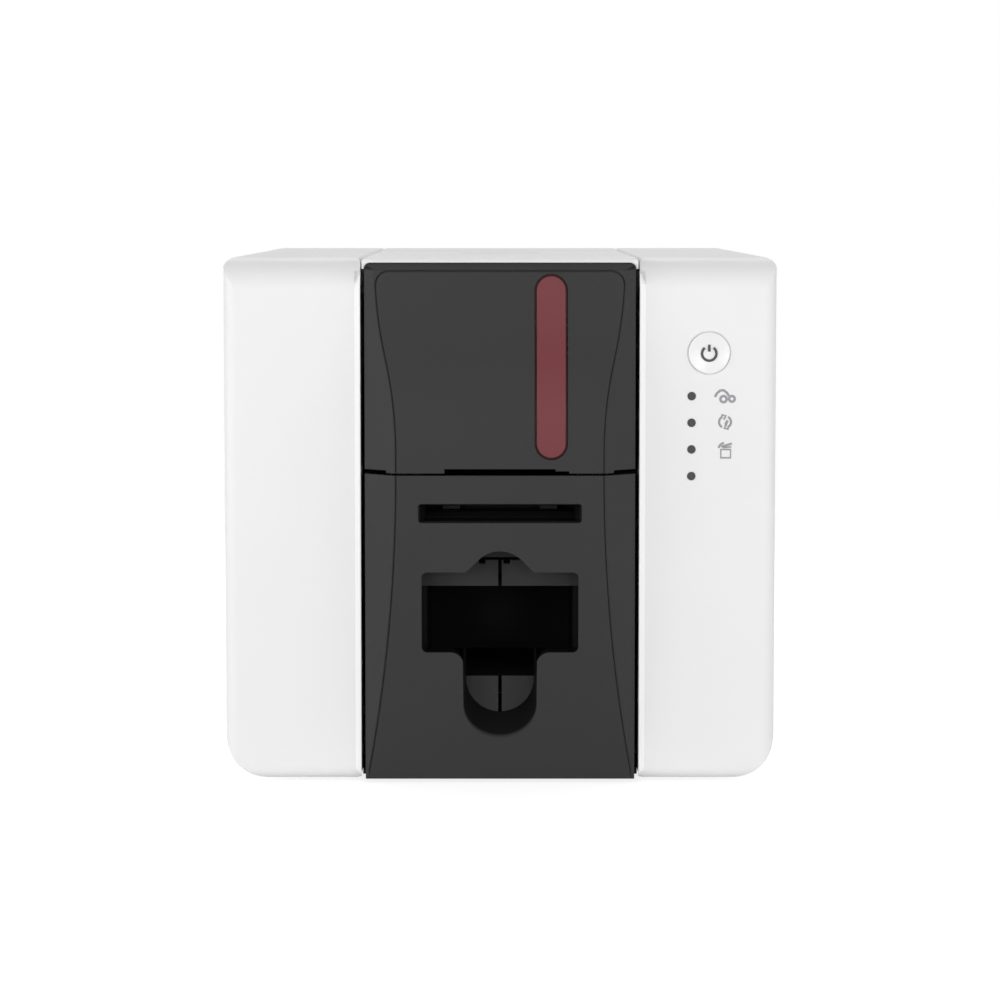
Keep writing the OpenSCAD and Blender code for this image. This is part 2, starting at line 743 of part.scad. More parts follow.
module gear_plate() {
    color("lightsteelblue") along_x(gear_plate_x, gear_plate_x + gear_plate_t) difference() {
        union() {
            panel([entry_y - 10, axle_z - 51.5], [pick_y, axle_z + 26.5], [6, 6, 6, 6]);
            panel([takeup_y - 14, axle_z + 8.5], [takeup_y + 58, gear_plate_top], [6, 6, 6, 6]);
        }
        for (p = plate_post_places) translate(p) circle(r = screw_r + snug);
        for (y = drive_places) translate([y, axle_z]) circle(r = shaft_r + 1);
        translate([motor_y, motor_z]) circle(r = 8);
        translate([ribbon_motor_y, spool_z]) circle(r = 4);
        translate([takeup_y, spool_z]) circle(r = journal_r + 1);
        panel([entry_y + 6, axle_z - 41.5], [entry_y + 42, axle_z - 21.5], [4, 4, 4, 4]);
        panel([pick_y - 70, axle_z - 41.5], [pick_y - 18, axle_z - 33.5], [4, 4, 4, 4]);
    }
}
module transport_deck() {
    color("#3f4043") difference() {
        along_x(-frame_x + snug, frame_x - snug) polygon([[side_y + 3, deck_low],
            [feeder_front - 2.4, deck_low], [feeder_front - 2.4, deck_top],
            [side_y + 7, deck_top], [side_y + 3, deck_low + 0.4]]);
        for (y = [entry_y, platen_y, transport_y])
            box([-32, y - 8.4, deck_low - 1], [32, y + 8.4, deck_top + 1]);
        // The way down to the bin.
        box([-30, entry_y + 14, deck_low - 1], [30, entry_y + 43, deck_top + 1]);
        // Room for the flanges of the shaft bushes.
        for (y = [entry_y, platen_y, transport_y]) both_sides()
            box([frame_x - 1.2, y - 6.8, deck_low - 1], [frame_x + 1, y + 6.8, deck_top + 1]);
    }
}
// The hopper for blank cards, open to the rear door.
module card_feeder() {
    inner = 27.4;
    color("#3f4043") difference() {
        union() {
            box([-frame_x + snug, feeder_front, deck_low], [frame_x - snug, feeder_back, deck_top]);
            both_sides()
                box([inner, feeder_front, deck_low], [inner + 2, feeder_back, feeder_top - 4]);
            box([-inner - 2, feeder_front, card_z + 1.6],
                [inner + 2, feeder_front + 2, feeder_top - 4]);
            for (z = [card_z + 8, feeder_top - 8]) both_sides()
                box([inner + 1, feeder_front, z - 1], [frame_x - snug, feeder_back, z + 1]);
            // Guides for the gate.
            both_sides() {
                box([20.2, feeder_front - 3.2, card_z + 6], [23, feeder_front + tiny, feeder_top - 20]);
                box([18.4, feeder_front - 3.2, card_z + 6], [21, feeder_front - 1.8, feeder_top - 20]);
            }
        }
        box([-24, pick_y - 8.4, deck_low - 1], [24, pick_y + 8.4, deck_top + 1]);
        both_sides() box([frame_x - 1.2, pick_y - 6.8, deck_low - 1],
            [frame_x + 1, pick_y + 6.8, deck_top + 1]);
        // A notch for the fingers in the side guides.
        both_sides() box([inner - 1, feeder_front + 42, card_z + 14],
            [inner + 3, feeder_back - 15, card_z + 34]);
        // Clearance for the pick roller's shaft under the floor.
        rod_x(-frame_x, frame_x, [pick_y, axle_z], shaft_r + 0.6);
        box([-3, feeder_front - 1, card_z + 6], [3, feeder_front + 3, card_z + 33]);
    }
}
// The gate that lets one card through. It is set to the card's thickness by its tab.
module gate_gauge() {
    color("#c9ccd0") difference() {
        union() {
            box([-20, feeder_front - 1.5, card_z + 0.4], [20, feeder_front - snug, card_z + 30]);
            // The stem and the thumb tab above the feeder's front wall.
            box([-6, feeder_front - 1.5, card_z + 29], [6, feeder_front - snug, feeder_top - 1]);
            box([-6, feeder_front - 1.5, feeder_top - 3], [6, feeder_front + 4, feeder_top - 1]);
        }
        both_sides() box([9, feeder_front - 3, card_z + 10], [13, feeder_front + 1, card_z + 24]);
    }
}
// The flap that sends printed cards down to the bin and lets a fed card push past.
module diverter() {
    tip = [diverter_y + 20, card_z + 2.4];
    color("#77797d") {
        rod_x(-frame_out, frame_out, [diverter_y, diverter_z], 2);
        for (x = [-24, -8, 8, 24]) along_x(x - 3, x + 3) polygon([
            [diverter_y - 1, diverter_z - 1], [diverter_y + 2, diverter_z - 1.6],
            tip - [0, 1.2], tip, [diverter_y, diverter_z + 1.9]]);
    }
}

// ---- gears ----
// The angle by which an involute turns between its base circle and pressure angle a.
function involute(a) = tan(a) * 180 / PI - a;
function flank(r, rb, half) = half + involute(20) - (r > rb ? involute(acos(rb / r)) : 0);
module gear_outline(teeth) {
    rp = tooth * teeth / 2;
    rb = rp * cos(20);
    root = rp - 1.25 * tooth;
    tip = rp + 0.95 * tooth;
    half = (PI * tooth / 2 - backlash) / 2 / rp * 180 / PI;
    rise = [for (r = [rp - 0.5 * tooth, rp, rp + 0.5 * tooth, tip]) if (r > max(rb, root) + 0.1) r];
    radii = concat(root < rb ? [root, rb] : [root], rise);
    points = [for (k = [0 : teeth - 1]) each concat(
        [for (r = radii) polar(r, k * 360 / teeth - flank(r, rb, half))],
        [for (i = [len(radii) - 1 : -1 : 0])
            polar(radii[i], k * 360 / teeth + flank(radii[i], rb, half))])];
    polygon(points);
}
// A gear at a place in the side view, turned by phase. With no bore it is fast on its shaft.
module gear(at, teeth, phase, bore, hub) {
    translate([gear_x, at[0], at[1]]) rotate([90, 0, 90]) difference() {
        union() {
            linear_extrude(gear_w) rotate(phase) gear_outline(teeth);
            if (hub > 0) translate([0, 0, -0.6]) cylinder(h = gear_w + 1.2, r = hub);
        }
        if (bore > 0) translate([0, 0, -2]) cylinder(h = gear_w + 4, r = bore);
    }
}
module web_holes(at, teeth, n) {
    // Lightening holes in the web of a large gear.
    r = tooth * teeth / 2;
    for (i = [0 : n - 1]) rod_x(gear_x - 1, gear_end + 1,
        at + polar(r * 0.56, i * 360 / n + 180 / n), r * 0.2);
}
module idler(at, teeth) {
    color("ivory") difference() {
        gear(at, teeth, 180 / teeth, post_r + running, 5);
        web_holes(at, teeth, 6);
    }
}
module idler_front() { idler(gear_post_places[0], idler_teeth); }
module idler_middle() { idler(gear_post_places[1], idler_teeth); }
module idler_long() { idler(gear_post_places[2], long_teeth); }

// ---- the driven rollers ----
module drive_shaft(y) {
    color("silver") rod_x(-frame_out - 1, gear_end + 1, [y, axle_z], shaft_r);
    color("ivory") gear([y, axle_z], roller_teeth, 0, 0, 5.5);
}
module tyre(y, x0, x1, r) {
    difference() {
        rod_x(x0, x1, [y, axle_z], r);
        rod_x(x0 - 1, x1 + 1, [y, axle_z], shaft_r);
    }
}
entry_tyre_x = 18.4;
entry_tyre_w = 6.5;
module entry_shaft() { drive_shaft(entry_y); }
module entry_tyres() {
    color("#6b6d70") for (s = [-1, 1])
        tyre(entry_y, s * entry_tyre_x - entry_tyre_w / 2, s * entry_tyre_x + entry_tyre_w / 2, roller_r);
}
module platen_shaft() { drive_shaft(platen_y); }
module platen_tyre() { color("#2a2a2c") tyre(platen_y, -30, 30, roller_r); }
module transport_shaft() { drive_shaft(transport_y); }
module transport_tyre() { color("#2a2a2c") tyre(transport_y, -28, 28, roller_r); }
module pick_shaft() { drive_shaft(pick_y); }
module pick_tyre() { color("#2a2a2c") for (s = [-1, 1]) tyre(pick_y, s * 14 - 7, s * 14 + 7, roller_r); }
module entry_pinch() {
    color("silver") rod_x(-frame_out, frame_out, [entry_y, pinch_z], 2);
    color("#6b6d70") for (s = [-1, 1])
        rod_x(s * entry_tyre_x - entry_tyre_w / 2, s * entry_tyre_x + entry_tyre_w / 2,
            [entry_y, pinch_z], pinch_r);
}
module cleaning_roller() {
    color("silver") rod_x(-frame_out, frame_out, [transport_y, cleaner_z], 2.5);
    color("skyblue") rod_x(-28.5, 28.5, [transport_y, cleaner_z], cleaner_r);
}

// ---- the ribbon ----
module spool(y, x0, x1) {
    rod_x(-ribbon_half - 3, ribbon_half + 3, [y, spool_z], core_r);
    rod_x(x0, x1, [y, spool_z], journal_r);
}
module ribbon_roll(y, r) {
    difference() {
        rod_x(-ribbon_half, ribbon_half, [y, spool_z], r);
        rod_x(-ribbon_half - 1, ribbon_half + 1, [y, spool_z], core_r);
    }
}
module takeup_spool() { color("#d8d8d8") spool(takeup_y, -frame_out - 2, gear_end + 1); }
module supply_spool() { color("#d8d8d8") spool(supply_y, -frame_out - 2, frame_out + 2); }
module takeup_ribbon() { color("#3b2f4a") ribbon_roll(takeup_y, takeup_r); }
module supply_ribbon() { color("#3b2f4a") ribbon_roll(supply_y, supply_r); }
module takeup_gear() {
    color("ivory") gear([takeup_y, spool_z], idler_teeth, 180 / idler_teeth, journal_r, 6.5);
}
// The film between the spools: under both guide rods and across the platen.
module ribbon_web() {
    nip_z = card_z + 0.35;
    supply_at = [supply_y, spool_z];
    takeup_at = [takeup_y, spool_z];
    n1 = touch_normal_left(supply_at, supply_r, rear_rod, rod_r);
    n2 = touch_normal_left(front_rod, rod_r, takeup_at, takeup_r);
    gap = rod_r + 0.15 + web_t;
    low = [supply_at + n1 * (supply_r + fit + web_t), rear_rod + n1 * gap, rear_rod + [-0.9, -gap],
        [head_y + 7, nip_z], [head_y - 7, nip_z], front_rod + [0.9, -gap], front_rod + n2 * gap,
        takeup_at + n2 * (takeup_r + fit + web_t)];
    high = [for (i = [len(low) - 1 : -1 : 0]) low[i] + [0, web_t]];
    color("#3b2f4a") along_x(-ribbon_half, ribbon_half) polygon(concat(low, high));
}

// ---- motors ----
motor_back = gear_plate_x + gear_plate_t;
module transport_motor() {
    color("#2f3033") {
        along_x(motor_back, motor_back + 26) translate([motor_y, motor_z])
            panel([-17.5, -17.5], [17.5, 17.5], [4, 4, 4, 4]);
        rod_x(motor_back - gear_plate_t, motor_back, [motor_y, motor_z], 7.9);
    }
}
module ribbon_motor() {
    color("#8f9296") {
        rod_x(motor_back, motor_back + 30, [ribbon_motor_y, spool_z], 12);
        rod_x(motor_back - gear_plate_t, motor_back, [ribbon_motor_y, spool_z], 3.9);
        rod_x(motor_back + 30, motor_back + 33, [ribbon_motor_y, spool_z], 5);
    }
}
module pinion(at) {
    color("goldenrod") gear(at, pinion_teeth, 0, 0, 0);
    color("silver") rod_x(gear_x, gear_plate_x - snug, at, 1.5);
}
module motor_pinion() { pinion([motor_y, motor_z]); }
module ribbon_pinion() { pinion([ribbon_motor_y, spool_z]); }

// ---- boards and sockets ----
board_z = 14;
board_t = 1.6;
screw_r = 1.5;
socket_y = rear_y - wall;
board_front = socket_y - 112.6;
board_half = frame_x - 3;
board_holes = [for (y = [board_front + 6, board_front + 92], x = [-board_half + 4, board_half - 4])
    [x, y]];
module main_board() {
    color("seagreen") {
        difference() {
            box([-board_half, board_front, board_z], [board_half, socket_y - 4, board_z + board_t]);
            for (p = board_holes) rod_z(board_z - 1, board_z + board_t + 1, p, screw_r + snug);
        }
        // Chips, capacitors and the header for the motor leads.
        top = board_z + board_t;
        translate([0, board_front, 0]) {
            for (c = [[-14, 38, 14, 14, 2], [12, 44, 20, 12, 2], [-26, 64, 8, 10, 3],
                    [8, 20, 12, 8, 2]])
                box([c[0] - c[2] / 2, c[1] - c[3] / 2, top - tiny],
                    [c[0] + c[2] / 2, c[1] + c[3] / 2, top + c[4]]);
            for (p = [[24, 30], [24, 42], [26, 68], [-28, 22]]) rod_z(top - tiny, top + 9, p, 4);
            box([-31, 78, top - tiny], [-9, 84, top + 7]);
        }
    }
}
usb_at = [-18, board_z + board_t + 5.7];
net_at = [4, board_z + board_t + 6.8];
inlet_at = [board_half - 12, board_z + board_t + 6];
module data_sockets() {
    color("silver") {
        // A square device socket with its tongue.
        difference() {
            along_y(socket_y - 14, rear_y - 0.4) translate(usb_at)
                square([12, 11.2], center = true);
            along_y(socket_y - 8, rear_y + 1) translate(usb_at) polygon([[-4.2, -3.9], [4.2, -3.9],
                [4.2, 2.4], [2.7, 3.9], [-2.7, 3.9], [-4.2, 2.4]]);
        }
        along_y(socket_y - 8.1, rear_y - 1.6) translate(usb_at) square([5.6, 3], center = true);
        // An eight-pin network socket with its keyway.
        difference() {
            along_y(socket_y - 14, rear_y - 0.4) translate(net_at)
                square([16, 13.4], center = true);
            along_y(socket_y - 10, rear_y + 1) translate(net_at) {
                translate([-5.9, -2.6]) square([11.8, 7]);
                translate([-3, -4.6]) square([6, 3]);
            }
        }
    }
}
module power_inlet() {
    color("#1f1f21") {
        difference() {
            along_y(socket_y - 12, rear_y - 0.4) translate(inlet_at) square([11.6, 11.6], center = true);
            rod_y(socket_y - 8, rear_y + 1, inlet_at, 3.2);
        }
        rod_y(socket_y - 8.1, rear_y - 1.4, inlet_at, 1);
    }
}
module rear_panel() {
    top = door_low - 3.2;
    color("whitesmoke") difference() {
        union() {
            along_y(rear_y - wall, rear_y)
                translate([-cover_x + snug, foot_h]) square([2 * (cover_x - snug), top - foot_h]);
            // A rib along the inside of the top edge.
            box([-frame_x + 1, rear_y - wall - 4, top - 5], [frame_x - 1, rear_y - wall + tiny, top - 2]);
        }
        along_y(rear_y - wall - 1, rear_y + 1) {
            translate(usb_at) square([12.4, 11.6], center = true);
            translate(net_at) square([16.4, 13.8], center = true);
            translate(inlet_at) square([12, 12], center = true);
            // The slot for a security lock.
            translate([frame_x + 3, 26]) square([3, 7], center = true);
            // Air vents.
            for (i = [0 : 7]) translate([-28 + i * 8, 50]) panel([-1.5, 0], [1.5, 22], [1.4, 1.4, 1.4, 1.4]);
        }
    }
}
// The button's board stands behind the right cover's front wall.
module control_board() {
    y = control_y;
    color("seagreen") {
        box([button_x - 14, y, light_z - 4 * light_pitch + 4], [button_x + 12, y + 1.6, button_z + 12]);
        box([button_x - 3, y - 3, button_z - 3], [button_x + 3, y + tiny, button_z + 3]);
    }
}
module status_lights() {
    color("#4d4f52") for (i = [0 : light_n - 1]) {
        at = [light_x, light_z - i * light_pitch];
        rod_y(side_y + 0.1, side_y + wall + 0.1, at, light_r - 0.05);
        rod_y(side_y + wall, control_y, at, light_r + 0.8);
    }
}
module power_button() {
    color("white") {
        difference() {
            union() {
                rod_y(side_y - 0.5, side_y + wall + fit + tiny, [button_x, button_z], button_r);
                // The rim that keeps it behind the wall, and the stem that works the switch.
                rod_y(side_y + wall + fit, side_y + wall + 1.6, [button_x, button_z], button_r + 1.5);
                rod_y(side_y + wall + 1.5, control_y - 3 - button_travel - 0.2, [button_x, button_z], 2);
            }
            // A shallow dish for the fingertip.
            translate([button_x, side_y - 44.2, button_z]) sphere(r = 44.3, $fn = fine);
        }
    }
}
module screws() {
    // Cap screws that hold the gear plate and the main board.
    color("gray") {
        for (p = plate_post_places) {
            rod_x(gear_plate_x - 3, gear_plate_x + gear_plate_t + 1, p, screw_r);
            rod_x(gear_plate_x + gear_plate_t, gear_plate_x + gear_plate_t + 1.8, p, 2.8);
        }
        for (p = board_holes) {
            rod_z(board_z - 6, board_z + board_t + 1, p, screw_r);
            rod_z(board_z + board_t, board_z + board_t + 1.8, p, 2.8);
        }
    }
}

// ---- the lid ----
module lid_shell() {
    side_r = 1.6;
    skirt_low = case_h - 14;
    lip_y = side_y + 1.6;
    color("whitesmoke") difference() {
        union() {
            intersection() {
                along_y(front_y, rear_y) panel([-lid_half, hinge_z],
                    [lid_half, case_h], [0, 0, side_r, side_r]);
                along_x(-half_w, half_w) {
                    panel([lip_y, front_top_z + snug], [hinge_y, case_h], [0, 0, 0, side_r]);
                    translate([strip_back + 0.5, lid_under - 1])
                        square([hinge_y - strip_back - 0.5, 2.4]);
                    // The rear edge is rounded about the hinge.
                    intersection() {
                        translate([hinge_y, hinge_z]) circle(r = case_h - hinge_z);
                        translate([hinge_y - tiny, hinge_z]) square(20);
                    }
                }
            }
            // The white corners outside the black front's rounded ones.
            along_y(lip_y, lip_y + 3) difference() {
                translate([-lid_half, front_top_z - corner_r]) square([2 * lid_half, corner_r + 1]);
                panel([-strip_half - snug, 0], [strip_half + snug, front_top_z + snug],
                    [0, 0, corner_r, corner_r]);
            }
            both_sides() box([strip_half - wall, strip_back + 1, skirt_low],
                [strip_half, hinge_y - 12, case_h - side_r]);
        }
        // The hollow under the top wall.
        box([-strip_half + wall, strip_back + 1, lid_under - 2],
            [strip_half - wall, lid_back - 6, lid_under]);
        // The groove round the hinge, so that the rear edge can turn past the rear cover.
        rod_x(-half_w, half_w, [hinge_y, hinge_z], case_h - hinge_z - 1.6);
        // The well of the release button.
        along_z(lid_under - 3, case_h + 1) panel([-release_w / 2, release_y - release_l / 2],
            [release_w / 2, release_y + release_l / 2], [4, 4, 4, 4]);
    }
}
release_y = latch_y + 11;
lug_x = frame_x - 5;
lug_t = 4;
post_x = 24;
module lid_liner() {
    inner = strip_half - wall - snug;
    wall_t = 2;
    hub_r = case_h - hinge_z - 1.9;
    color("#48494c") difference() {
        union() {
            // The plate under the top wall, and the wall round it.
            box([-inner, strip_back + 1.2, lid_under - wall_t], [inner, hinge_y - 8, lid_under]);
            both_sides() box([inner - wall_t, strip_back + 1.2, liner_low], [inner, hinge_y - 12, lid_under]);
            box([-inner, strip_back + 1.2, liner_low], [inner, strip_back + 1.2 + wall_t, lid_under]);
            // Ribs across the plate.
            for (y = [platen_y - 38, hinge_y - 38])
                box([-inner, y, lid_under - 7], [inner, y + wall_t, lid_under]);
            // The fixing strip behind the black front.
            box([-inner + 3, strip_back - 7, front_top_z - wall - 2.4],
                [inner - 3, strip_back + 1.3, front_top_z - wall - 0.2]);
            // Arms that run back to the hinge shaft.
            both_sides() {
                box([lug_x, hinge_y - 24, hinge_z - hub_r], [lug_x + lug_t, hinge_y, lid_under - 1]);
                rod_x(lug_x, lug_x + lug_t, [hinge_y, hinge_z], hub_r);
                // Lugs for the latch bar.
                along_x(lug_x, lug_x + lug_t) polygon([[latch_y - 10, lid_under - 1],
                    [latch_y - 5, latch_z - 3], [latch_y + 5, latch_z - 3], [latch_y + 10, lid_under - 1]]);
                rod_x(lug_x, lug_x + lug_t, [latch_y, latch_z], 5.2);
                // Posts that the print head slides on.
                rod_z(head_top - 12, lid_under - 1, [post_x, head_y], post_radius);
                rod_z(spring_top, lid_under - 1, [post_x, head_y], 6.4);
            }
        }
        both_sides() rod_x(lug_x - 1, lug_x + lug_t + 1, [hinge_y, hinge_z], hinge_r + running);
        both_sides() rod_x(lug_x - 1, lug_x + lug_t + 1, [latch_y, latch_z], shaft_r + running);
        // The release button passes through the plate.
        along_z(lid_under - 4, lid_under + 1) panel(
            [-release_w / 2 - 0.4, release_y - release_l / 2 - 0.4],
            [release_w / 2 + 0.4, release_y + release_l / 2 + 0.4], [4, 4, 4, 4]);
    }
}
post_radius = 3;
spring_top = case_h - 22.5;
head_top = spring_top - 20;
hook_x = frame_out + 1;
hook_t = 3;
catch_room = 2.6;                   // half width of the hook's slot round its pin
catch_path = norm([hinge_y - latch_y, hinge_z - catch_z]);
catch_turn = atan2(hinge_z - catch_z, hinge_y - latch_y);
// The bar behind the release button, with a hook at each end that reaches under its catch.
module latch_bar() {
    color("#5c5e62") {
        rod_x(-hook_x - hook_t, hook_x + hook_t, [latch_y, latch_z], shaft_r);
        both_sides() along_x(hook_x, hook_x + hook_t) difference() {
            union() {
                translate([latch_y, latch_z]) circle(r = 4.6);
                polygon([[latch_y + 4, latch_z - 2], [latch_y + 0.5, catch_z + 8],
                    [latch_y + 3, catch_z - 6.5], [latch_y - 7, catch_z - 3.5],
                    [latch_y - 8.5, catch_z + 8], [latch_y - 4.4, latch_z - 1]]);
            }
            // The catch leaves the hook along the lid's own arc.
            difference() {
                translate([hinge_y, hinge_z]) circle(r = catch_path + catch_room, $fn = fine);
                translate([hinge_y, hinge_z]) circle(r = catch_path - catch_room, $fn = fine);
                translate([latch_y, catch_z]) rotate(catch_turn) translate([-20, 0]) square(150);
            }
            translate([latch_y, catch_z]) circle(r = catch_room);
        }
        // The lever that the button presses on.
        along_x(-7, 7) polygon([[latch_y, latch_z - 2], [latch_y, latch_z + 3],
            [release_y + 3, latch_z + 3], [release_y + 3, latch_z + 0.6]]);
    }
}
module release_button() {
    color("whitesmoke") {
        along_z(lid_under - 3.4, case_h - 0.5) panel(
            [-release_w / 2 + fit, release_y - release_l / 2 + fit],
            [release_w / 2 - fit, release_y + release_l / 2 - fit], [3.7, 3.7, 3.7, 3.7]);
        // The rim that keeps it in the lid, and the stem that presses on the latch.
        along_z(lid_under - 4.9, lid_under - 3.3) panel(
            [-release_w / 2 - 1, release_y - release_l / 2 - 1],
            [release_w / 2 + 1, release_y + release_l / 2 + 1], [4, 4, 4, 4]);
        along_z(latch_z + 3 + fit, lid_under - 4.8) translate([-4, release_y - 1]) square([8, 3]);
    }
}

// ---- the print head ----
carriage_low = head_top - 32;
module head_carriage() {
    color("#3c3d40") difference() {
        box([-34, head_y - 13, head_top - 9], [34, head_y + 13, head_top]);
        both_sides() rod_z(head_top - 12, head_top + 1, [post_x, head_y], post_radius + 2 * running);
        // A recess in the underside that leaves a rim.
        box([-17, head_y - 10, head_top - 10], [17, head_y + 10, head_top - 3]);
    }
    color("#3c3d40") both_sides() box([30.6, head_y - 10, carriage_low - 6],
        [34, head_y + 10, head_top - 9 + tiny]);
}
fin_n = 11;
sink_low = card_z + 9.5;
module heat_sink() {
    low = sink_low;
    high = head_top - 18;
    color("silver") {
        box([-30.5, head_y - 9, low], [30.5, head_y + 9, low + 6]);
        for (i = [0 : fin_n - 1]) {
            x = -28.5 + i * 57 / (fin_n - 1);
            box([x - 0.75, head_y - 9, low + 6 - tiny], [x + 0.75, head_y + 9, high]);
        }
    }
}
module print_head() {
    color("#d9cfa8") along_x(-30.5, 30.5) polygon([[head_y - 6, head_low], [head_y + 6, head_low],
        [head_y + 9, head_low + 4], [head_y + 9, sink_low - tiny], [head_y - 9, sink_low - tiny],
        [head_y - 9, head_low + 4]]);
}
// Two coil springs that press the head down.
spring_turns = 5;
spring_sides = 6;
spring_steps = 8;
spring_wire = 0.6;
spring_mean = 4.6;
function spring_point(a, s) =
    let (z = spring_wire + (spring_top - head_top - 2 * spring_wire) * a / (360 * spring_turns),
        r = spring_mean + spring_wire * cos(s))
    [r * cos(a), r * sin(a), head_top + z + spring_wire * sin(s)];
module coil_spring() {
    n = spring_turns * spring_steps;
    points = [for (i = [0 : n], s = [0 : spring_sides - 1])
        spring_point(i * 360 / spring_steps, s * 360 / spring_sides)];
    sides = [for (i = [0 : n - 1], s = [0 : spring_sides - 1]) let (
        a = i * spring_sides + s, b = i * spring_sides + (s + 1) % spring_sides)
        each [[a, b, a + spring_sides], [b, b + spring_sides, a + spring_sides]]];
    first = [for (s = [1 : spring_sides - 2]) [0, s + 1, s]];
    last = [for (s = [1 : spring_sides - 2])
        [n * spring_sides, n * spring_sides + s, n * spring_sides + s + 1]];
    polyhedron(points, concat(sides, first, last));
}
// The least gap between two turns, measured on the points of the wire.
spring_gap = min([for (i = [0 : (spring_turns - 1) * spring_steps], s = [0 : spring_sides - 1],
    u = [0 : spring_sides - 1]) norm(spring_point((i / spring_steps + 1) * 360, s * 360 / spring_sides)
    - spring_point(i * 360 / spring_steps, u * 360 / spring_sides))]);
echo(least_gap_between_spring_turns_mm = spring_gap);
module head_springs() {
    color("silver") both_sides() translate([post_x, head_y, 0]) coil_spring();
}

// ---- the rear ----
module rear_top_cover() {
    trough_r = case_h - hinge_z + 0.8;
    color("whitesmoke") {
        difference() {
            along_x(-lid_half, lid_half) difference() {
                panel([hinge_y, door_top + 1.6], [rear_y, case_h], [0, 0, top_r, 0]);
                panel([hinge_y - 1, door_top], [rear_y - wall, lid_under], [0, 0, top_r - wall, 0]);
            }
            rod_x(-half_w, half_w, [hinge_y, hinge_z], trough_r);
            box([-half_w, hinge_y - 10, 0], [half_w, rear_cover_y, 300]);
        }
        // The curved lip that runs down behind the hinge.
        along_x(-strip_half, strip_half) intersection() {
            difference() {
                translate([hinge_y, hinge_z]) circle(r = trough_r + 1.8);
                translate([hinge_y, hinge_z]) circle(r = trough_r);
            }
            translate([hinge_y + 2.2, hinge_z - 12]) square([12, lid_under + snug - hinge_z + 12]);
        }
        // Skirts that stand inside the side covers.
        both_sides() box([strip_half - wall, hinge_y + 16, feeder_top + 4],
            [strip_half, rear_y - wall - 5, lid_under + tiny]);
        both_sides() box([frame_x, hinge_y + 20, feeder_top + snug],
            [strip_half - 1, hinge_y + 60, feeder_top + 6]);
    }
}
module feeder_door() {
    rim_half = frame_x - 5;
    color("whitesmoke") difference() {
        union() {
            along_y(rear_y - wall, rear_y) panel([-strip_half, door_low], [strip_half, door_top],
                [0, 0, 3, 3]);
            both_sides() rod_x(frame_out + 0.6, strip_half - 1, [door_y, door_z], 3.4);
            both_sides() box([frame_out + 0.6, door_y, door_low],
                [strip_half - 1, rear_y - wall + tiny, door_z + 3.4]);
            // A stiffening rim.
            along_y(rear_y - wall - 3, rear_y - wall + tiny) difference() {
                translate([-rim_half, feeder_top + 3]) square([2 * rim_half, 24]);
                translate([-rim_half + 2, feeder_top + 5]) square([2 * rim_half - 4, 20]);
            }
        }
        both_sides() rod_x(frame_out, strip_half, [door_y, door_z], 1.5 + running);
        // The finger grip along the top edge.
        along_x(-18, 18) translate([rear_y + 4, door_top - 8]) circle(r = 5.4);
    }
}

base_tray();
left_cover();
right_cover();
rear_panel();
rear_top_cover();
front_panel();
card_bin();
left_frame();
right_frame();
transport_deck();
card_feeder();
gear_plate();
shaft_bushes();
hinge_shaft();
frame_pins();
guide_rods();
ribbon_web();
transport_motor();
ribbon_motor();
main_board();
data_sockets();
power_inlet();
control_board();
status_lights();
rubber_feet();
screws();
lid_shell();
lid_front();
lid_window();
lid_liner();
latch_bar();
release_button();
head_carriage();
heat_sink();
print_head();
head_springs();
power_button();
feeder_door();
gate_gauge();
diverter();
entry_shaft();
entry_tyres();
platen_shaft();
platen_tyre();
transport_shaft();
transport_tyre();
pick_shaft();
pick_tyre();
idler_front();
idler_middle();
idler_long();
entry_pinch();
cleaning_roller();
motor_pinion();
ribbon_pinion();
takeup_spool();
takeup_ribbon();
takeup_gear();
supply_spool();
supply_ribbon();
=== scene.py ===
# %% [markdown]
# # A desktop ID card printer
# The real object is a small office printer for plastic cards: two white side covers, a dark
# centre strip between them, and under the lid a card path with rollers, gears and a ribbon.
# Its solids were made in CAD and packed as a fixed frame. Here they get their finishes, a few
# printed signs and small trim, a floor, lamps and a camera. One object in metres, Z up.

# %% The frame and the CAD box
import bpy
import bmesh
import math
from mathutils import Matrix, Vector


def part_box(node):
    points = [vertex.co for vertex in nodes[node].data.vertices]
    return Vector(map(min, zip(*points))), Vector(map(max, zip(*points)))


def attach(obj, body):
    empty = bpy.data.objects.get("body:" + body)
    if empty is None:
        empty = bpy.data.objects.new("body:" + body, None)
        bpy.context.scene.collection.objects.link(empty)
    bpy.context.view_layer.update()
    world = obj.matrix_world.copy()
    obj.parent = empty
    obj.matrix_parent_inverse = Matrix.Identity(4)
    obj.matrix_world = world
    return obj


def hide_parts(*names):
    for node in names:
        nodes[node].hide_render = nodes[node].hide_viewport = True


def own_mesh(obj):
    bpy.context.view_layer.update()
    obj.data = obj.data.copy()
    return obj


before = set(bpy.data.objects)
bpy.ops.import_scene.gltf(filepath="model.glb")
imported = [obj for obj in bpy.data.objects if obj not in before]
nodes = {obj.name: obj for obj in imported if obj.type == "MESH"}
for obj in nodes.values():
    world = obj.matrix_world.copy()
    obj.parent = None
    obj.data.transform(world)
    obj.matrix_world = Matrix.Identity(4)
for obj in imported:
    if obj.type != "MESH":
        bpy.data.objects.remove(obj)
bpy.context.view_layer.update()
MM = 0.001

# %% [markdown]
# ## The camera
# A product photograph of an office machine is taken from well back, with a long lens, so that
# the front stays square. The height and the tilt follow from how much of the top shows.

# %% The camera
CAMERA_AT = (0.0, -1.4067, 0.2148)
CAMERA_TILT_DEG = -4.92
LENS_MM, SENSOR_MM = 122.76, 36
NEAREST_M = 0.05

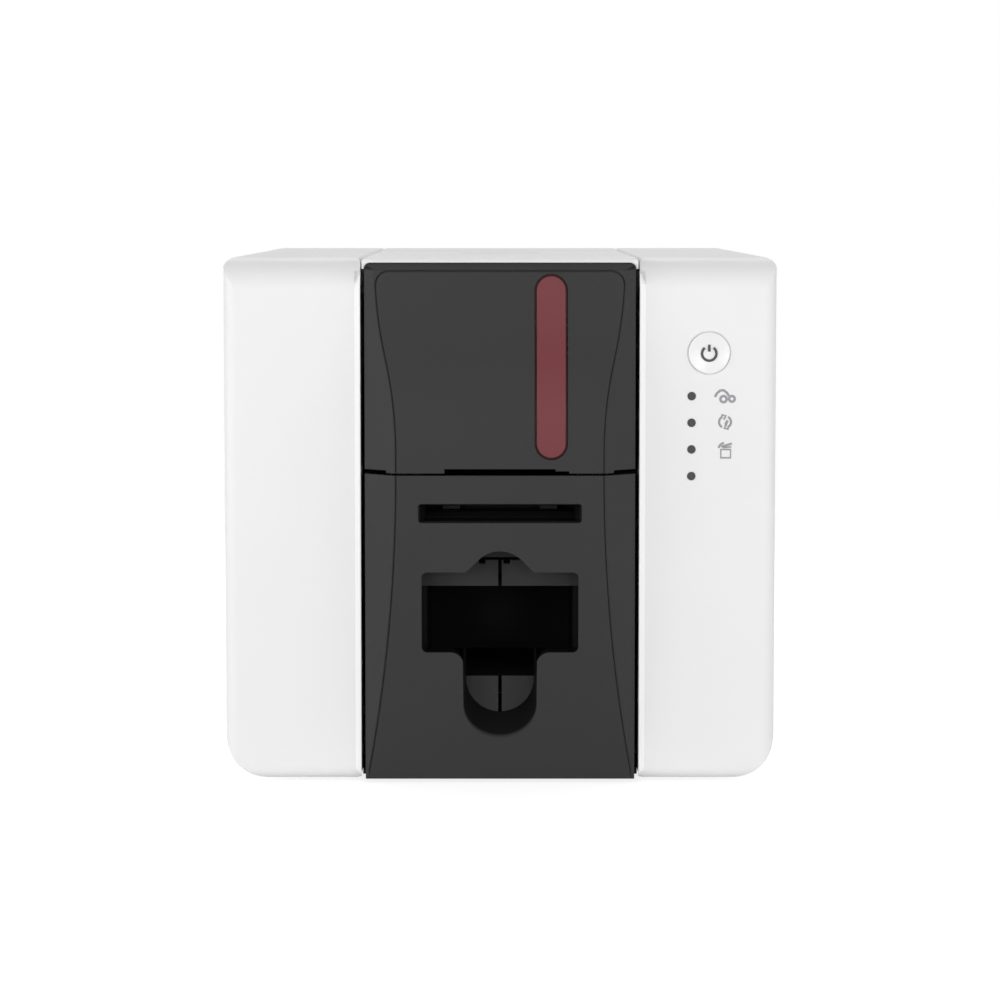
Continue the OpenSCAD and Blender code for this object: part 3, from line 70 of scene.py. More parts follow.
lens = bpy.data.cameras.new("camera")
lens.lens = LENS_MM
lens.sensor_width = SENSOR_MM
lens.clip_start = NEAREST_M
camera = bpy.data.objects.new("camera", lens)
camera.location = CAMERA_AT
camera.rotation_euler = (math.radians(90 + CAMERA_TILT_DEG), 0, 0)
bpy.context.collection.objects.link(camera)
bpy.context.scene.camera = camera
bpy.context.scene.view_settings.view_transform = "Standard"
print("lens", LENS_MM, "mm, tilt", CAMERA_TILT_DEG, "degrees")

# %% [markdown]
# ## Helpers for shader nodes
# Colours are written as sRGB hex values, the way a paint chart gives them, and Blender's
# shaders want linear light, so one function turns one into the other. Another adds a shader
# node with its settings and its links, which keeps each finish below down to a few lines.

# %% Colour and node helpers
def linear(hex_colour):
    """The linear RGBA of an sRGB hex colour."""
    out = []
    for i in (0, 2, 4):
        c = int(hex_colour.lstrip("#")[i:i + 2], 16) / 255
        out.append(c / 12.92 if c <= 0.04045 else ((c + 0.055) / 1.055) ** 2.4)
    return (*out, 1.0)


def add(tree, kind, settings=None, **links):
    """Adds a node. Settings starting with a capital or made of digits are sockets, the others
    are properties. A link's name is the socket with _ for each space, or i and its number, and
    its value is an output socket."""
    node = tree.nodes.new(kind)
    for name, value in (settings or {}).items():
        if name[0].isupper() or name.isdigit():
            node.inputs[int(name) if name.isdigit() else name].default_value = value
        else:
            setattr(node, name, value)
    for name, source in links.items():
        key = name.replace("_", " ")
        if key[0] == "i" and key[1:].isdigit():
            key = int(key[1:])
        tree.links.new(source, node.inputs[key])
    return node


def surface(name, colour, roughness, metallic=0.0, ior=1.5, **sockets):
    """A new material with a Principled shader, then its tree, shader and coordinates."""
    material = bpy.data.materials.new(name)
    material.use_nodes = True
    tree = material.node_tree
    shader = tree.nodes["Principled BSDF"]
    shader.inputs["Base Color"].default_value = linear(colour)
    shader.inputs["Roughness"].default_value = roughness
    shader.inputs["Metallic"].default_value = metallic
    if not metallic:
        shader.inputs["IOR"].default_value = ior
    for key, value in sockets.items():
        shader.inputs[key.replace("_", " ")].default_value = value
    place = tree.nodes.new("ShaderNodeTexCoord").outputs["Object"]
    return material, tree, shader, place

print("node helpers ready")

# %% [markdown]
# ## Helpers that shape a finish
# A finish is built from drivers, which run from 0 to 1 over the piece: a cloud of noise, or how
# far a point lies past some line. A driver then moves the relief, the roughness or the colour.

# %% Drivers and what they move
MIX_A, MIX_B, MIX_RESULT = 6, 7, 2  # where a colour mix node keeps its colour sockets


def noise(tree, place, size_mm, detail):
    """A 0..1 cloud whose blobs are about size_mm across."""
    return add(tree, "ShaderNodeTexNoise", {"Scale": 1 / (size_mm * MM), "Detail": detail},
               Vector=place).outputs["Fac"]


def coordinate(tree, place, axis):
    """A point's coordinate along X, Y or Z."""
    return add(tree, "ShaderNodeSeparateXYZ", None, Vector=place).outputs[axis]


def ramp(tree, value, low, high):
    """0 below low, 1 above high, and a straight climb between."""
    return add(tree, "ShaderNodeMapRange", {"From Min": low, "From Max": high},
               Value=value).outputs["Result"]


def bump(tree, shader, height, distance, strength=1.0, edge=0.0):
    """Feeds a height into the shader's normal. The shader rounds edges by edge metres."""
    links = {}
    if edge:
        rounded = add(tree, "ShaderNodeBevel", {"samples": 4, "Radius": edge})
        links["Normal"] = rounded.outputs["Normal"]
    relief = add(tree, "ShaderNodeBump", {"Strength": strength, "Distance": distance},
                 Height=height, **links)
    tree.links.new(relief.outputs["Normal"], shader.inputs["Normal"])


def vary(tree, shader, socket, driver, low, high):
    """Lets a driver move one of the shader's values between low and high."""
    span = add(tree, "ShaderNodeMapRange", {"To Min": low, "To Max": high}, Value=driver)
    tree.links.new(span.outputs["Result"], shader.inputs[socket])


def tint(tree, shader, driver, first, second):
    """Lets a driver mix two colours into the base colour."""
    mix = add(tree, "ShaderNodeMix", {"data_type": "RGBA"}, Factor=driver)
    mix.inputs[MIX_A].default_value = linear(first)
    mix.inputs[MIX_B].default_value = linear(second)
    tree.links.new(mix.outputs[MIX_RESULT], shader.inputs["Base Color"])


def overlay(tree, shader, driver, colour):
    """Lays a second colour over the base colour where a driver is 1."""
    below = shader.inputs["Base Color"].links[0].from_socket
    mix = add(tree, "ShaderNodeMix", {"data_type": "RGBA"}, Factor=driver)
    mix.inputs[MIX_B].default_value = linear(colour)
    tree.links.new(below, mix.inputs[MIX_A])
    tree.links.new(mix.outputs[MIX_RESULT], shader.inputs["Base Color"])

print("finish helpers ready")

# %% [markdown]
# ## Moulded ABS
# Office machines are cased in injection-moulded ABS. The tool's cavity is spark eroded, which
# leaves a fine even grain of about 0.1 mm, and that is why the plastic has a soft sheen and no
# sharp reflections. The grain is drawn at 0.35 mm, the finest that shows at this size. A slow,
# very faint cloud in the roughness stands for the way the melt flowed.

# %% White, black and grey ABS
GRAIN_MM, GRAIN_DEPTH_M, GRAIN_STRENGTH = 0.35, 0.00002, 0.35
FLOW_MM, FLOW_ROUGHNESS = 60, 0.04


def moulded(name, colour, shade, roughness, grain=1.0, edge=0.0004, gloss=0.5, painted_shade=None):
    """Moulded plastic. The last argument is a pair for painted shade: a function that makes the
    driver, and the darker colour laid where it is 1.
    """
    material, tree, shader, place = surface(name, colour, roughness, ior=1.53,
                                            Specular_IOR_Level=gloss)
    fine = noise(tree, place, GRAIN_MM, 2.0)
    flow = noise(tree, place, FLOW_MM, 1.0)
    bump(tree, shader, fine, GRAIN_DEPTH_M * grain, GRAIN_STRENGTH, edge)
    vary(tree, shader, "Roughness", flow, roughness - FLOW_ROUGHNESS,
         roughness + FLOW_ROUGHNESS)
    tint(tree, shader, flow, colour, shade)
    # Painted shade: a darker colour laid over the base where the driver is 1.
    if painted_shade:
        driver, shade_colour = painted_shade
        overlay(tree, shader, driver(tree, place), shade_colour)
    return material


abs_white = moulded("abs_white_moulded", "#EEEEEE", "#ECECEC", 0.42, 0.6, 0.0005, 0.3)
abs_black = moulded("abs_black_moulded", "#161617", "#131314", 0.55, gloss=0.2)
abs_grey = moulded("abs_grey_moulded", "#3A3A3C", "#363638", 0.5, gloss=0.25)
print("ABS:", abs_white.name, abs_black.name, abs_grey.name)

# %% [markdown]
# ## Painted shade in the openings
# The walls of the front panel's openings, the bin behind its plate and the band that slants
# back along the lid's top are given darker colours: painted shade, because little light
# reaches them. How deep a point lies behind the face decides where the panel gets it. The
# front panel's face is an arc seen from the side, so its depth is the arc's radius less the
# distance from its centre. The slanting facets left and right of the face lie deeper too, but
# they are outer skin, so only the middle, where the openings are, is taken. On the lid's band
# a point's height decides.

# %% Masks for the painted shade on the inner walls, the bin and the lid's band
PANEL_HEIGHT_MM, PANEL_DROP_MM = 114.8, 9.8
JOINT_Z_MM = 116.4
FRONT_Y_MM = -155.0
OPENINGS_HALF_MM = 33
PANEL_FADE_MM = (0.6, 1.6)
PLATE_FADE_MM = (0.3, 0.8)
BAND_LOW_MM, BAND_FADE_MM = 191.3, 0.6
panel_arc_mm = (PANEL_HEIGHT_MM ** 2 + PANEL_DROP_MM ** 2) / (2 * PANEL_DROP_MM)
plate_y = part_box("card_bin")[0][1]


def shade_behind_panel_face(tree, place):
    """1 on the walls of the front panel's openings, where shade is painted."""
    flat = add(tree, "ShaderNodeVectorMath", {"operation": "MULTIPLY", "1": (0, 1, 1)},
               i0=place)
    arc_centre = (0, (FRONT_Y_MM + panel_arc_mm) * MM, JOINT_Z_MM * MM)
    from_centre = add(tree, "ShaderNodeVectorMath", {"operation": "DISTANCE", "1": arc_centre},
                      i0=flat.outputs["Vector"])
    depth = add(tree, "ShaderNodeMath", {"operation": "SUBTRACT", "0": panel_arc_mm * MM},
                i1=from_centre.outputs["Value"])
    inner = ramp(tree, depth.outputs[0], PANEL_FADE_MM[0] * MM, PANEL_FADE_MM[1] * MM)
    aside = add(tree, "ShaderNodeMath", {"operation": "ABSOLUTE"},
                i0=coordinate(tree, place, "X"))
    middle = add(tree, "ShaderNodeMath", {"operation": "LESS_THAN", "1": OPENINGS_HALF_MM * MM},
                 i0=aside.outputs[0])
    return add(tree, "ShaderNodeMath", {"operation": "MULTIPLY"}, i0=inner,
               i1=middle.outputs[0]).outputs[0]


def shade_behind_bin_plate(tree, place):
    """1 in the bin, behind its front plate, where shade is painted."""
    return ramp(tree, coordinate(tree, place, "Y"), plate_y + PLATE_FADE_MM[0] * MM,
                plate_y + PLATE_FADE_MM[1] * MM)


def shade_on_lid_band(tree, place):
    """1 on the band along the lid's top, where shade is painted."""
    return ramp(tree, coordinate(tree, place, "Z"), BAND_LOW_MM * MM,
                (BAND_LOW_MM + BAND_FADE_MM) * MM)

print("panel arc", round(panel_arc_mm, 1), "mm; bin plate at", round(plate_y, 4))

# %% [markdown]
# ## The dark strip
# The front panel and the lid's front are moulded in the same graphite ABS, from tools with the
# same grain, so that they match across the joint. The bin behind them is plainer and duller.
# Each carries its painted shade: the panel in its openings, the lid on its top band, the bin
# behind its plate.

# %% Front panel, lid front and bin
panel_graphite = moulded("abs_graphite_panel", "#393939", "#363636", 0.48, 1.0, 0.0005, 0.08,
                         (shade_behind_panel_face, "#101011"))
lid_graphite = moulded("abs_graphite_lid", "#393939", "#363636", 0.48, 1.0, 0.0005, 0.08,
                       (shade_on_lid_band, "#131211"))
bin_grey = moulded("abs_grey_bin", "#3C3C3C", "#393939", 0.7, 1.0, 0.0004, 0.06,
                   (shade_behind_bin_plate, "#151515"))
print("strip:", panel_graphite.name, lid_graphite.name, bin_grey.name)

# %% [markdown]
# ## The tinted window
# The window is dark red polycarbonate, dyed through, about 3 mm thick, and the ribbon's rolls
# lie behind it. Real dyed plastic takes light away as it travels through, and with the dark
# inside behind it little comes back. So its own colour does most of the work here, with a
# little transmission, and it is rough enough to mirror no lamp.

# %% The window's polycarbonate
WINDOW_X_MM = 18.9
WINDOW_RIM_MM, RIM_FADE_MM = 0.75, 0.1
HAZE_MM = 1.2
window_low, window_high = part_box("lid_window")
window_half = (window_high[0] - window_low[0]) / 2

window_red, tree, shader, place = surface(
    "polycarbonate_red_tinted", "#7A3C40", 0.3, ior=1.585,
    Transmission_Weight=0.12, Specular_IOR_Level=0.08)
haze = noise(tree, place, HAZE_MM, 1.0)
bump(tree, shader, haze, 0.00001, 0.25, 0.0004)
tint(tree, shader, haze, "#7A3C40", "#75393D")

# The rim is sunk, and its dark colour is painted shade; it's found by its distance from the
# window's middle line.
spine_z = add(tree, "ShaderNodeClamp", {"Min": window_low[2] + window_half,
                                        "Max": window_high[2] - window_half},
              Value=coordinate(tree, place, "Z"))
here = add(tree, "ShaderNodeCombineXYZ", None, X=coordinate(tree, place, "X"),
           Z=coordinate(tree, place, "Z"))
spine = add(tree, "ShaderNodeCombineXYZ", {"X": WINDOW_X_MM * MM}, Z=spine_z.outputs["Result"])
away = add(tree, "ShaderNodeVectorMath", {"operation": "DISTANCE"}, i0=here.outputs["Vector"],
           i1=spine.outputs["Vector"])
overlay(tree, shader, ramp(tree, away.outputs["Value"], window_half - WINDOW_RIM_MM * MM,
                           window_half - (WINDOW_RIM_MM - RIM_FADE_MM) * MM), "#3A0408")
print("window:", window_red.name, "half width", round(window_half / MM, 2), "mm")

# %% [markdown]
# ## Other plastics
# Gears are acetal, which is milky and slippery and comes from the mould with faint ejector
# marks. Spools are grey polystyrene. Light pipes are smoked acrylic, dark while their lamps are
# off. Sockets are glass-filled black nylon, a touch rougher than ABS.

# %% Acetal, polystyrene, acrylic and nylon
acetal_ivory = moulded("acetal_ivory_moulded", "#E6E0CC", "#DED7C0", 0.36, 0.5, 0.0002)
polystyrene_grey = moulded("polystyrene_spool_grey", "#B9BABC", "#B0B1B4", 0.30, 0.4, 0.0003)
acrylic_smoked = moulded("acrylic_light_pipe_smoked", "#434345", "#3D3D3F", 0.3, 0.2, 0.0002,
                         0.25)
nylon_black = moulded("nylon_socket_black", "#161617", "#111112", 0.52, 1.2, 0.0002)
button_white = moulded("abs_button_white_gloss", "#EFEFEF", "#EDEDED", 0.26, 0.3, 0.0006)
print("plastics:", acetal_ivory.name, polystyrene_grey.name, acrylic_smoked.name)

# %% [markdown]
# ## Rubber
# Feed rollers are moulded and then ground on a lathe, which leaves fine rings round the axis.
# Here the axis is X, so a wave along X draws them. The cleaning roller is soft blue silicone,
# kept tacky so that dust sticks to it, and so it's smoother and a little wet.

# %% Ground and tacky rubber
RING_MM, DUST_MM = 0.8, 4
WAVE_PER_M = 0.314  # a wave texture of this scale has one band to the metre


def ground_rubber(name, colour, shade, roughness, depth=1.0):
    """Rubber with the rings that a grinding wheel leaves."""
    material, tree, shader, place = surface(name, colour, roughness, ior=1.52)
    rings = add(tree, "ShaderNodeTexWave",
                {"wave_type": "BANDS", "bands_direction": "X",
                 "Scale": WAVE_PER_M / (RING_MM * MM), "Distortion": 0.6, "Detail": 1.0},
                Vector=place)
    dust = noise(tree, place, DUST_MM, 3.0)
    bump(tree, shader, rings.outputs["Fac"], 0.00003 * depth, 0.4, 0.0003)
    vary(tree, shader, "Roughness", dust, roughness - 0.06, roughness + 0.06)
    tint(tree, shader, dust, colour, shade)
    return material


rubber_black = ground_rubber("rubber_black_ground", "#1D1D1D", "#262626", 0.72)
rubber_grey = ground_rubber("rubber_grey_ground", "#5E5F61", "#696A6C", 0.62)
silicone_blue = ground_rubber("silicone_blue_tacky", "#2F6E9E", "#2A6593", 0.28, 0.2)
print("rubber:", rubber_black.name, rubber_grey.name, silicone_blue.name)

# %% [markdown]
# ## Metals
# Shafts are ground bright steel: the grinding wheel leaves scratches round the shaft. The
# frames and the gear plate are zinc-plated sheet, with the cloudy spangle of plating. Bushes
# are sintered bronze, matt and porous. The frames' front ends are near black, painted shade
# for the shadow below the lid, and the pins are black, so that nothing glints through the
# joint below the lid. The heat sink is an aluminium extrusion, drawn through its die along X,
# which leaves long lines. A metal's IOR stays at its default.

# %% Steel, zinc, bronze, aluminium and brass
EVEN, ROUND_X, ALONG_X = (1, 1, 1), (1, 12, 12), (14, 1, 1)
FINE_M, MEDIUM_M, COARSE_M = 0.00001, 0.00002, 0.00004
BLACK_FROM_Y_MM, BLACK_TO_Y_MM = -117, -119


def bright_metal(name, colour, shade, roughness, stretch, grain_mm, depth, blacked=None):
    """A metal with scratches: stretch is how much longer they are along X, Y and Z. blacked
    makes a driver that is 1 where painted shade darkens the metal."""
    material, tree, shader, place = surface(name, colour, roughness, metallic=1.0)
    spread = add(tree, "ShaderNodeMapping", {"Scale": tuple(1 / s for s in stretch)},
                 Vector=place)
    lines = noise(tree, spread.outputs["Vector"], grain_mm, 2.0)
    bump(tree, shader, lines, depth, 0.3, 0.0002)
    vary(tree, shader, "Roughness", lines, roughness - 0.07, roughness + 0.07)
    tint(tree, shader, lines, colour, shade)
    if blacked:
        overlay(tree, shader, blacked(tree, place), "#0B0B0C")
    return material


def front_end_shade(tree, place):
    """1 on the frames' front ends, where shade is painted."""
    return ramp(tree, coordinate(tree, place, "Y"), BLACK_FROM_Y_MM * MM, BLACK_TO_Y_MM * MM)


steel_ground = bright_metal("steel_ground", "#B9BABC", "#AEB0B3", 0.26, ROUND_X, 0.4, FINE_M)
steel_blacked = bright_metal("steel_black_oxide", "#26272A", "#1F2023", 0.5, EVEN, 0.6, FINE_M)
steel_zinc = bright_metal("steel_sheet_zinc_plated", "#9A9DA2", "#888C92", 0.42, EVEN, 5,
                          MEDIUM_M)
steel_frame = bright_metal("steel_frame_zinc_plated", "#9A9DA2", "#888C92", 0.42, EVEN, 5,
                           MEDIUM_M, front_end_shade)
bronze = bright_metal("bronze_sintered", "#A87C4F", "#96683C", 0.5, EVEN, 0.5, COARSE_M)
aluminium = bright_metal("aluminium_extruded", "#C9CBCE", "#BEC1C5", 0.34, ALONG_X, 0.5,
                         MEDIUM_M)
brass = bright_metal("brass_hobbed", "#C9A75A", "#BA9646", 0.3, (1, 8, 8), 0.4, FINE_M)
tinned = bright_metal("steel_shell_tinned", "#C4C6C8", "#B6B8BB", 0.3, (1, 1, 6), 0.6, FINE_M)
motor_enamel = moulded("steel_black_enamel", "#202124", "#1B1C1F", 0.34, 0.8, 0.0003)
print("metals:", steel_ground.name, steel_zinc.name, aluminium.name, brass.name)

# %% [markdown]
# ## Boards, film and ceramic
# Circuit boards are glass fibre under a green solder mask, where copper tracks show as slightly
# lighter lines. The ribbon is dyed film a few thousandths of a millimetre thick, glossy and
# nearly black on the roll. The print head's heating line sits on glazed ceramic.

# %% Board, film and ceramic
TRACK_RUN_M, TRACK_PITCH_M, TRACK_WIDTH_M = 0.006, 0.0022, 0.00022
WINDING_MM = 2.5

board_green, tree, shader, place = surface("solder_mask_green", "#14583A", 0.34, ior=1.52)
tracks = add(tree, "ShaderNodeTexBrick",
             {"Scale": 1.0, "Brick Width": TRACK_RUN_M, "Row Height": TRACK_PITCH_M,
              "Mortar Size": TRACK_WIDTH_M, "Color1": linear("#14583A"),
              "Color2": linear("#125236"), "Mortar": linear("#2C7A55")}, Vector=place)
tree.links.new(tracks.outputs["Color"], shader.inputs["Base Color"])
bump(tree, shader, tracks.outputs["Fac"], 0.00003, 0.4)

film_dyed, tree, shader, place = surface("ribbon_film_dyed", "#221C30", 0.22, ior=1.6)
winding = noise(tree, place, WINDING_MM, 2.0)
bump(tree, shader, winding, 0.00003, 0.3)
tint(tree, shader, winding, "#221C30", "#2A2238")

ceramic = moulded("ceramic_glazed", "#D6CDB0", "#CFC5A6", 0.2, 0.3, 0.0003)
print("board, film, ceramic:", board_green.name, film_dyed.name, ceramic.name)

# %% [markdown]
# ## Which piece has which finish
# The CAD solids keep their shapes, so a finish only has to be put in each one's material slots.

# %% The finishes of the CAD pieces
FINISHES = {
    abs_white: ["left_cover", "right_cover", "rear_panel", "rear_top_cover", "lid_shell",
                "release_button", "feeder_door"],
    lid_graphite: ["lid_front"],
    panel_graphite: ["front_panel"],
    abs_black: ["base_tray", "lid_liner", "transport_deck", "card_feeder", "head_carriage"],
    bin_grey: ["card_bin"],
    abs_grey: ["latch_bar", "diverter"],
    window_red: ["lid_window"],
    button_white: ["power_button"],
    acrylic_smoked: ["status_lights"],
    acetal_ivory: ["idler_front", "idler_middle", "idler_long", "takeup_gear"],
    polystyrene_grey: ["takeup_spool", "supply_spool"],
    nylon_black: ["power_inlet"],
    rubber_black: ["rubber_feet", "platen_tyre", "transport_tyre", "pick_tyre"],
    rubber_grey: ["entry_tyres", "entry_pinch"],
    silicone_blue: ["cleaning_roller"],
    steel_blacked: ["frame_pins"],
    steel_ground: ["hinge_shaft", "guide_rods", "screws", "head_springs", "entry_shaft",
                   "platen_shaft", "transport_shaft", "pick_shaft", "gate_gauge",
                   "ribbon_motor"],
    steel_frame: ["left_frame", "right_frame"],
    steel_zinc: ["gear_plate"],
    bronze: ["shaft_bushes"],
    aluminium: ["heat_sink"],
    brass: ["motor_pinion", "ribbon_pinion"],
    tinned: ["data_sockets"],
    motor_enamel: ["transport_motor"],
    board_green: ["main_board", "control_board"],
    film_dyed: ["ribbon_web", "takeup_ribbon", "supply_ribbon"],
    ceramic: ["print_head"],
}
finished = set()
for material, names in FINISHES.items():
    for name in names:
        for material_slot in nodes[name].material_slots:
            material_slot.material = material
        finished.add(name)
print("finished:", len(finished), "of", len(nodes), "missing:", sorted(set(nodes) - finished))

# %% [markdown]
# ## From points and faces to a piece
# Each new piece below is built from points and faces. What comes after that is the same every
# time: the faces are turned to look outwards, and the mesh becomes an object with its finish.

# %% A helper for new pieces
def piece(name, bm, material):
    """The object made of a bmesh's points and faces."""
    bmesh.ops.recalc_face_normals(bm, faces=bm.faces)
    mesh = bpy.data.meshes.new(name)
    bm.to_mesh(mesh)
    bm.free()
    obj = bpy.data.objects.new(name, mesh)
    bpy.context.collection.objects.link(obj)
    mesh.materials.append(material)
    return obj

print("piece helper ready")

# %% [markdown]
# ## The head's coil springs
# Two steel coil springs press the print head down, and give way when it lifts. They are wound
# from hard-drawn wire. A CAD solid is rigid, so each spring is made again as a tube that
# follows a screw line, with finer steps.

# %% Coil springs
SPRING_TURNS, WIRE_MM, HEAD_LIFT_MM = 5, 0.6, 2.0
TURN_STEPS, WIRE_SIDES = 24, 10
spring_low, spring_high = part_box("head_springs")


def coil_spring(name, side):
    """A spring from the node's lowest to its highest point. side: -1 is left, 1 is right."""
    wire = WIRE_MM * MM
    outer = (spring_high[1] - spring_low[1]) / 2
    middle = outer - wire
    cx = side * (spring_high[0] - outer)
    cy = (spring_low[1] + spring_high[1]) / 2
    climb = spring_high[2] - spring_low[2] - 2 * wire
    bm = bmesh.new()
    rings = []
    for i in range(SPRING_TURNS * TURN_STEPS + 1):
        turned = 2 * math.pi * i / TURN_STEPS
        z = spring_low[2] + wire + climb * i / (SPRING_TURNS * TURN_STEPS)
        ring = []
        for j in range(WIRE_SIDES):
            around = 2 * math.pi * j / WIRE_SIDES
            r = middle + wire * math.cos(around)
            ring.append(bm.verts.new((cx + r * math.cos(turned), cy + r * math.sin(turned),
                                      z + wire * math.sin(around))))
        rings.append(ring)
    for ring, following in zip(rings, rings[1:]):
        for j in range(WIRE_SIDES):
            k = (j + 1) % WIRE_SIDES
            bm.faces.new((ring[j], ring[k], following[k], following[j])).smooth = True
    bm.faces.new(list(reversed(rings[0])))
    bm.faces.new(rings[-1])
    obj = piece(name, bm, steel_ground)
    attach(obj, "lid")
    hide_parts("head_springs")
    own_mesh(obj)
    return obj


for name, side in (("coil_spring_left", -1), ("coil_spring_right", 1)):
    print(coil_spring(name, side).name, "with", SPRING_TURNS, "turns")

# %% [markdown]
# ## Signs on the front
# The power sign and the small signs by the lights are pad printed: a soft pad stamps a film of
# ink about 0.01 mm thick. They are flat outlines here, raised by a twentieth of a millimetre so
# that they don't flicker into the plastic, and made as closed thin solids.

# %% Ink and helpers for flat signs
INK_MM = 0.05
INK_SUNK = 0.1  # the part of its thickness that reaches into the plastic
ink_dark = moulded("ink_dark_grey_pad_printed", "#3A3A3C", "#363638", 0.5, 0.3, 0.0)
ink_grey = moulded("ink_mid_grey_pad_printed", "#96969A", "#919195", 0.5, 0.3, 0.0)


def stroke(points, width, closed=False):
    """Both sides of a strip of that width along a line of (x, z) points in mm."""
    n = len(points)
    left, right = [], []
    for i, (x, z) in enumerate(points):
        before = points[(i - 1) % n] if closed or i else points[i]
        after = points[(i + 1) % n] if closed or i < n - 1 else points[i]
        along = Vector((after[0] - before[0], after[1] - before[1])).normalized()
        side = Vector((-along.y, along.x)) * width / 2
        left.append((x + side.x, z + side.y))
        right.append((x - side.x, z - side.y))
    return left, right, closed


def arc(cx, cz, r, start, end, steps=24):
    """Points on a circle, from one angle in degrees to another."""
    return [(cx + r * math.cos(math.radians(start + (end - start) * i / steps)),
             cz + r * math.sin(math.radians(start + (end - start) * i / steps)))
            for i in range(steps + 1)]


def shifted(x, z, points):
    """Points moved so that (0, 0) comes to (x, z)."""
    return [(x + dx, z + dz) for dx, dz in points]


def sign(name, strokes, face_y, material, body):
    """A printed sign: strokes on a front face at face_y metres, INK_MM thick."""
    bm = bmesh.new()
    for left, right, closed in strokes:
        n = len(left)
        rows = []
        for y in (face_y - INK_MM * MM, face_y + INK_SUNK * INK_MM * MM):
            rows.append([[bm.verts.new((x * MM, y, z * MM)) for x, z in side]
                         for side in (left, right)])
        (fl, fr), (bl, br) = rows
        for i in range(n if closed else n - 1):
            j = (i + 1) % n
            bm.faces.new((fl[i], fl[j], fr[j], fr[i]))
            bm.faces.new((bl[i], br[i], br[j], bl[j]))
            bm.faces.new((fl[i], bl[i], bl[j], fl[j]))
            bm.faces.new((fr[i], fr[j], br[j], br[i]))
        if not closed:
            for i in (0, n - 1):
                bm.faces.new((fl[i], fr[i], br[i], bl[i]))
    obj = piece(name, bm, material)
    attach(obj, body)
    return obj

print("ink", INK_MM, "mm")

# %% [markdown]
# ## The power sign
# It is the usual one for standby: a ring open at the top, with a bar in the opening. It sits in
# the button's dish, so it stands at the height that the dish has there.

# %% The power sign
BUTTON_X, BUTTON_Z = 77.4, 160.8
DISH_MM = 0.25
POWER_RING_MM, POWER_GAP_DEG, POWER_LINE_MM = 2.65, 38, 0.95
dish_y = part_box("power_button")[0][1] + DISH_MM * MM
power_sign = sign("power_sign", [
    stroke(arc(BUTTON_X, BUTTON_Z - 0.2, POWER_RING_MM, 90 + POWER_GAP_DEG,
               450 - POWER_GAP_DEG, 40), POWER_LINE_MM),
    stroke([(BUTTON_X, BUTTON_Z + 0.5), (BUTTON_X, BUTTON_Z + 3.1)], POWER_LINE_MM)],
    dish_y, ink_dark, "power_key")
print(power_sign.name, "at", BUTTON_X, BUTTON_Z)

# %% [markdown]
# ## Beads along the covers' inner edges
# Where a white cover meets the dark strip, its edge is nearly sharp and shows as a thin white
# line. The CAD solid has a round there, so a slim bead fills it, in a white lighter than the
# cover's: a painted highlight along the edge. It is lofted: one outline of a few points is
# repeated up the edge, and where the cover's face bends back at its top and foot, the points
# are held back to the face, so that the bead runs out into the cover by itself.

# %% Measures and finish of the beads
INNER_ROUND_MM, TOP_ROUND_MM, FOOT_ROUND_MM = 2.2, 12.0, 4.5
EDGE_MM, EDGE_SOFT = 0.35, 0.3
BACK_GAP_MM, BACK_SHIFT_MM = 0.04, 0.08
BACK_ANGLES_DEG = (15, 30, 45, 60, 75)
FOOT_STEPS, FACE_STEPS, TOP_STEPS = 8, 10, 12
cover_low, cover_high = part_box("right_cover")
face_foot = cover_low[2] / MM + FOOT_ROUND_MM
face_top = cover_high[2] / MM - TOP_ROUND_MM
# The bead's white is lighter than the cover's: a painted highlight.
bead_highlight_white = moulded("abs_white_edge_bead_painted_highlight", "#FBFBFB", "#F8F8F8", 0.36, 0.3, 0.0)


def face_back_mm(z):
    """How far the cover's face lies behind its front plane at a height, all in mm."""
    if z > face_top:
        radius, beyond = TOP_ROUND_MM, z - face_top
    else:
        radius, beyond = FOOT_ROUND_MM, face_foot - z
    return radius - math.sqrt(max(radius ** 2 - max(beyond, 0) ** 2, 0))


def bead_outline():
    """The bead's section as (x, y) in mm, from the cover's inner edge and its front plane."""
    r, e = INNER_ROUND_MM, EDGE_MM
    outline = [(r, 0.0), (e, 0.0), (e * EDGE_SOFT, e * EDGE_SOFT), (0.0, e), (0.0, r)]
    back = r - BACK_GAP_MM
    for t in map(math.radians, BACK_ANGLES_DEG):
        outline.append((r - back * math.cos(t) + BACK_SHIFT_MM,
                        r - back * math.sin(t) + BACK_SHIFT_MM))
    return outline


def bead_heights():
    """The heights in mm that the section is repeated at."""
    r = INNER_ROUND_MM
    top_reach = math.sqrt(TOP_ROUND_MM ** 2 - (TOP_ROUND_MM - r) ** 2)
    foot_reach = math.sqrt(FOOT_ROUND_MM ** 2 - (FOOT_ROUND_MM - r) ** 2)
    return ([face_foot - foot_reach * i / FOOT_STEPS for i in range(FOOT_STEPS, 0, -1)]
            + [face_foot + (face_top - face_foot) * i / FACE_STEPS
               for i in range(FACE_STEPS + 1)]
            + [face_top + top_reach * i / TOP_STEPS for i in range(1, TOP_STEPS + 1)])

print("beads of", len(bead_outline()), "points at", len(bead_heights()), "heights")

# %% [markdown]
# ## The two beads
# The section is written once for the right cover, and the left bead is its mirror image.

# %% The edge beads
def edge_bead(name, side):
    """The bead of the cover on one side: side is -1 for the left and 1 for the right."""
    outline = bead_outline()
    bm = bmesh.new()
    rows = []
    for z in bead_heights():
        back = face_back_mm(z)
        rows.append([bm.verts.new((side * (cover_low[0] + x * MM),
                                   cover_low[1] + max(y, back) * MM, z * MM))
                     for x, y in outline])
    for row, above in zip(rows, rows[1:]):
        for i in range(len(outline)):
            j = (i + 1) % len(outline)
            bm.faces.new((row[i], row[j], above[j], above[i]))
    bm.faces.new(rows[0])
    bm.faces.new(list(reversed(rows[-1])))
    obj = piece(name, bm, bead_highlight_white)
    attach(obj, "base")
    return obj


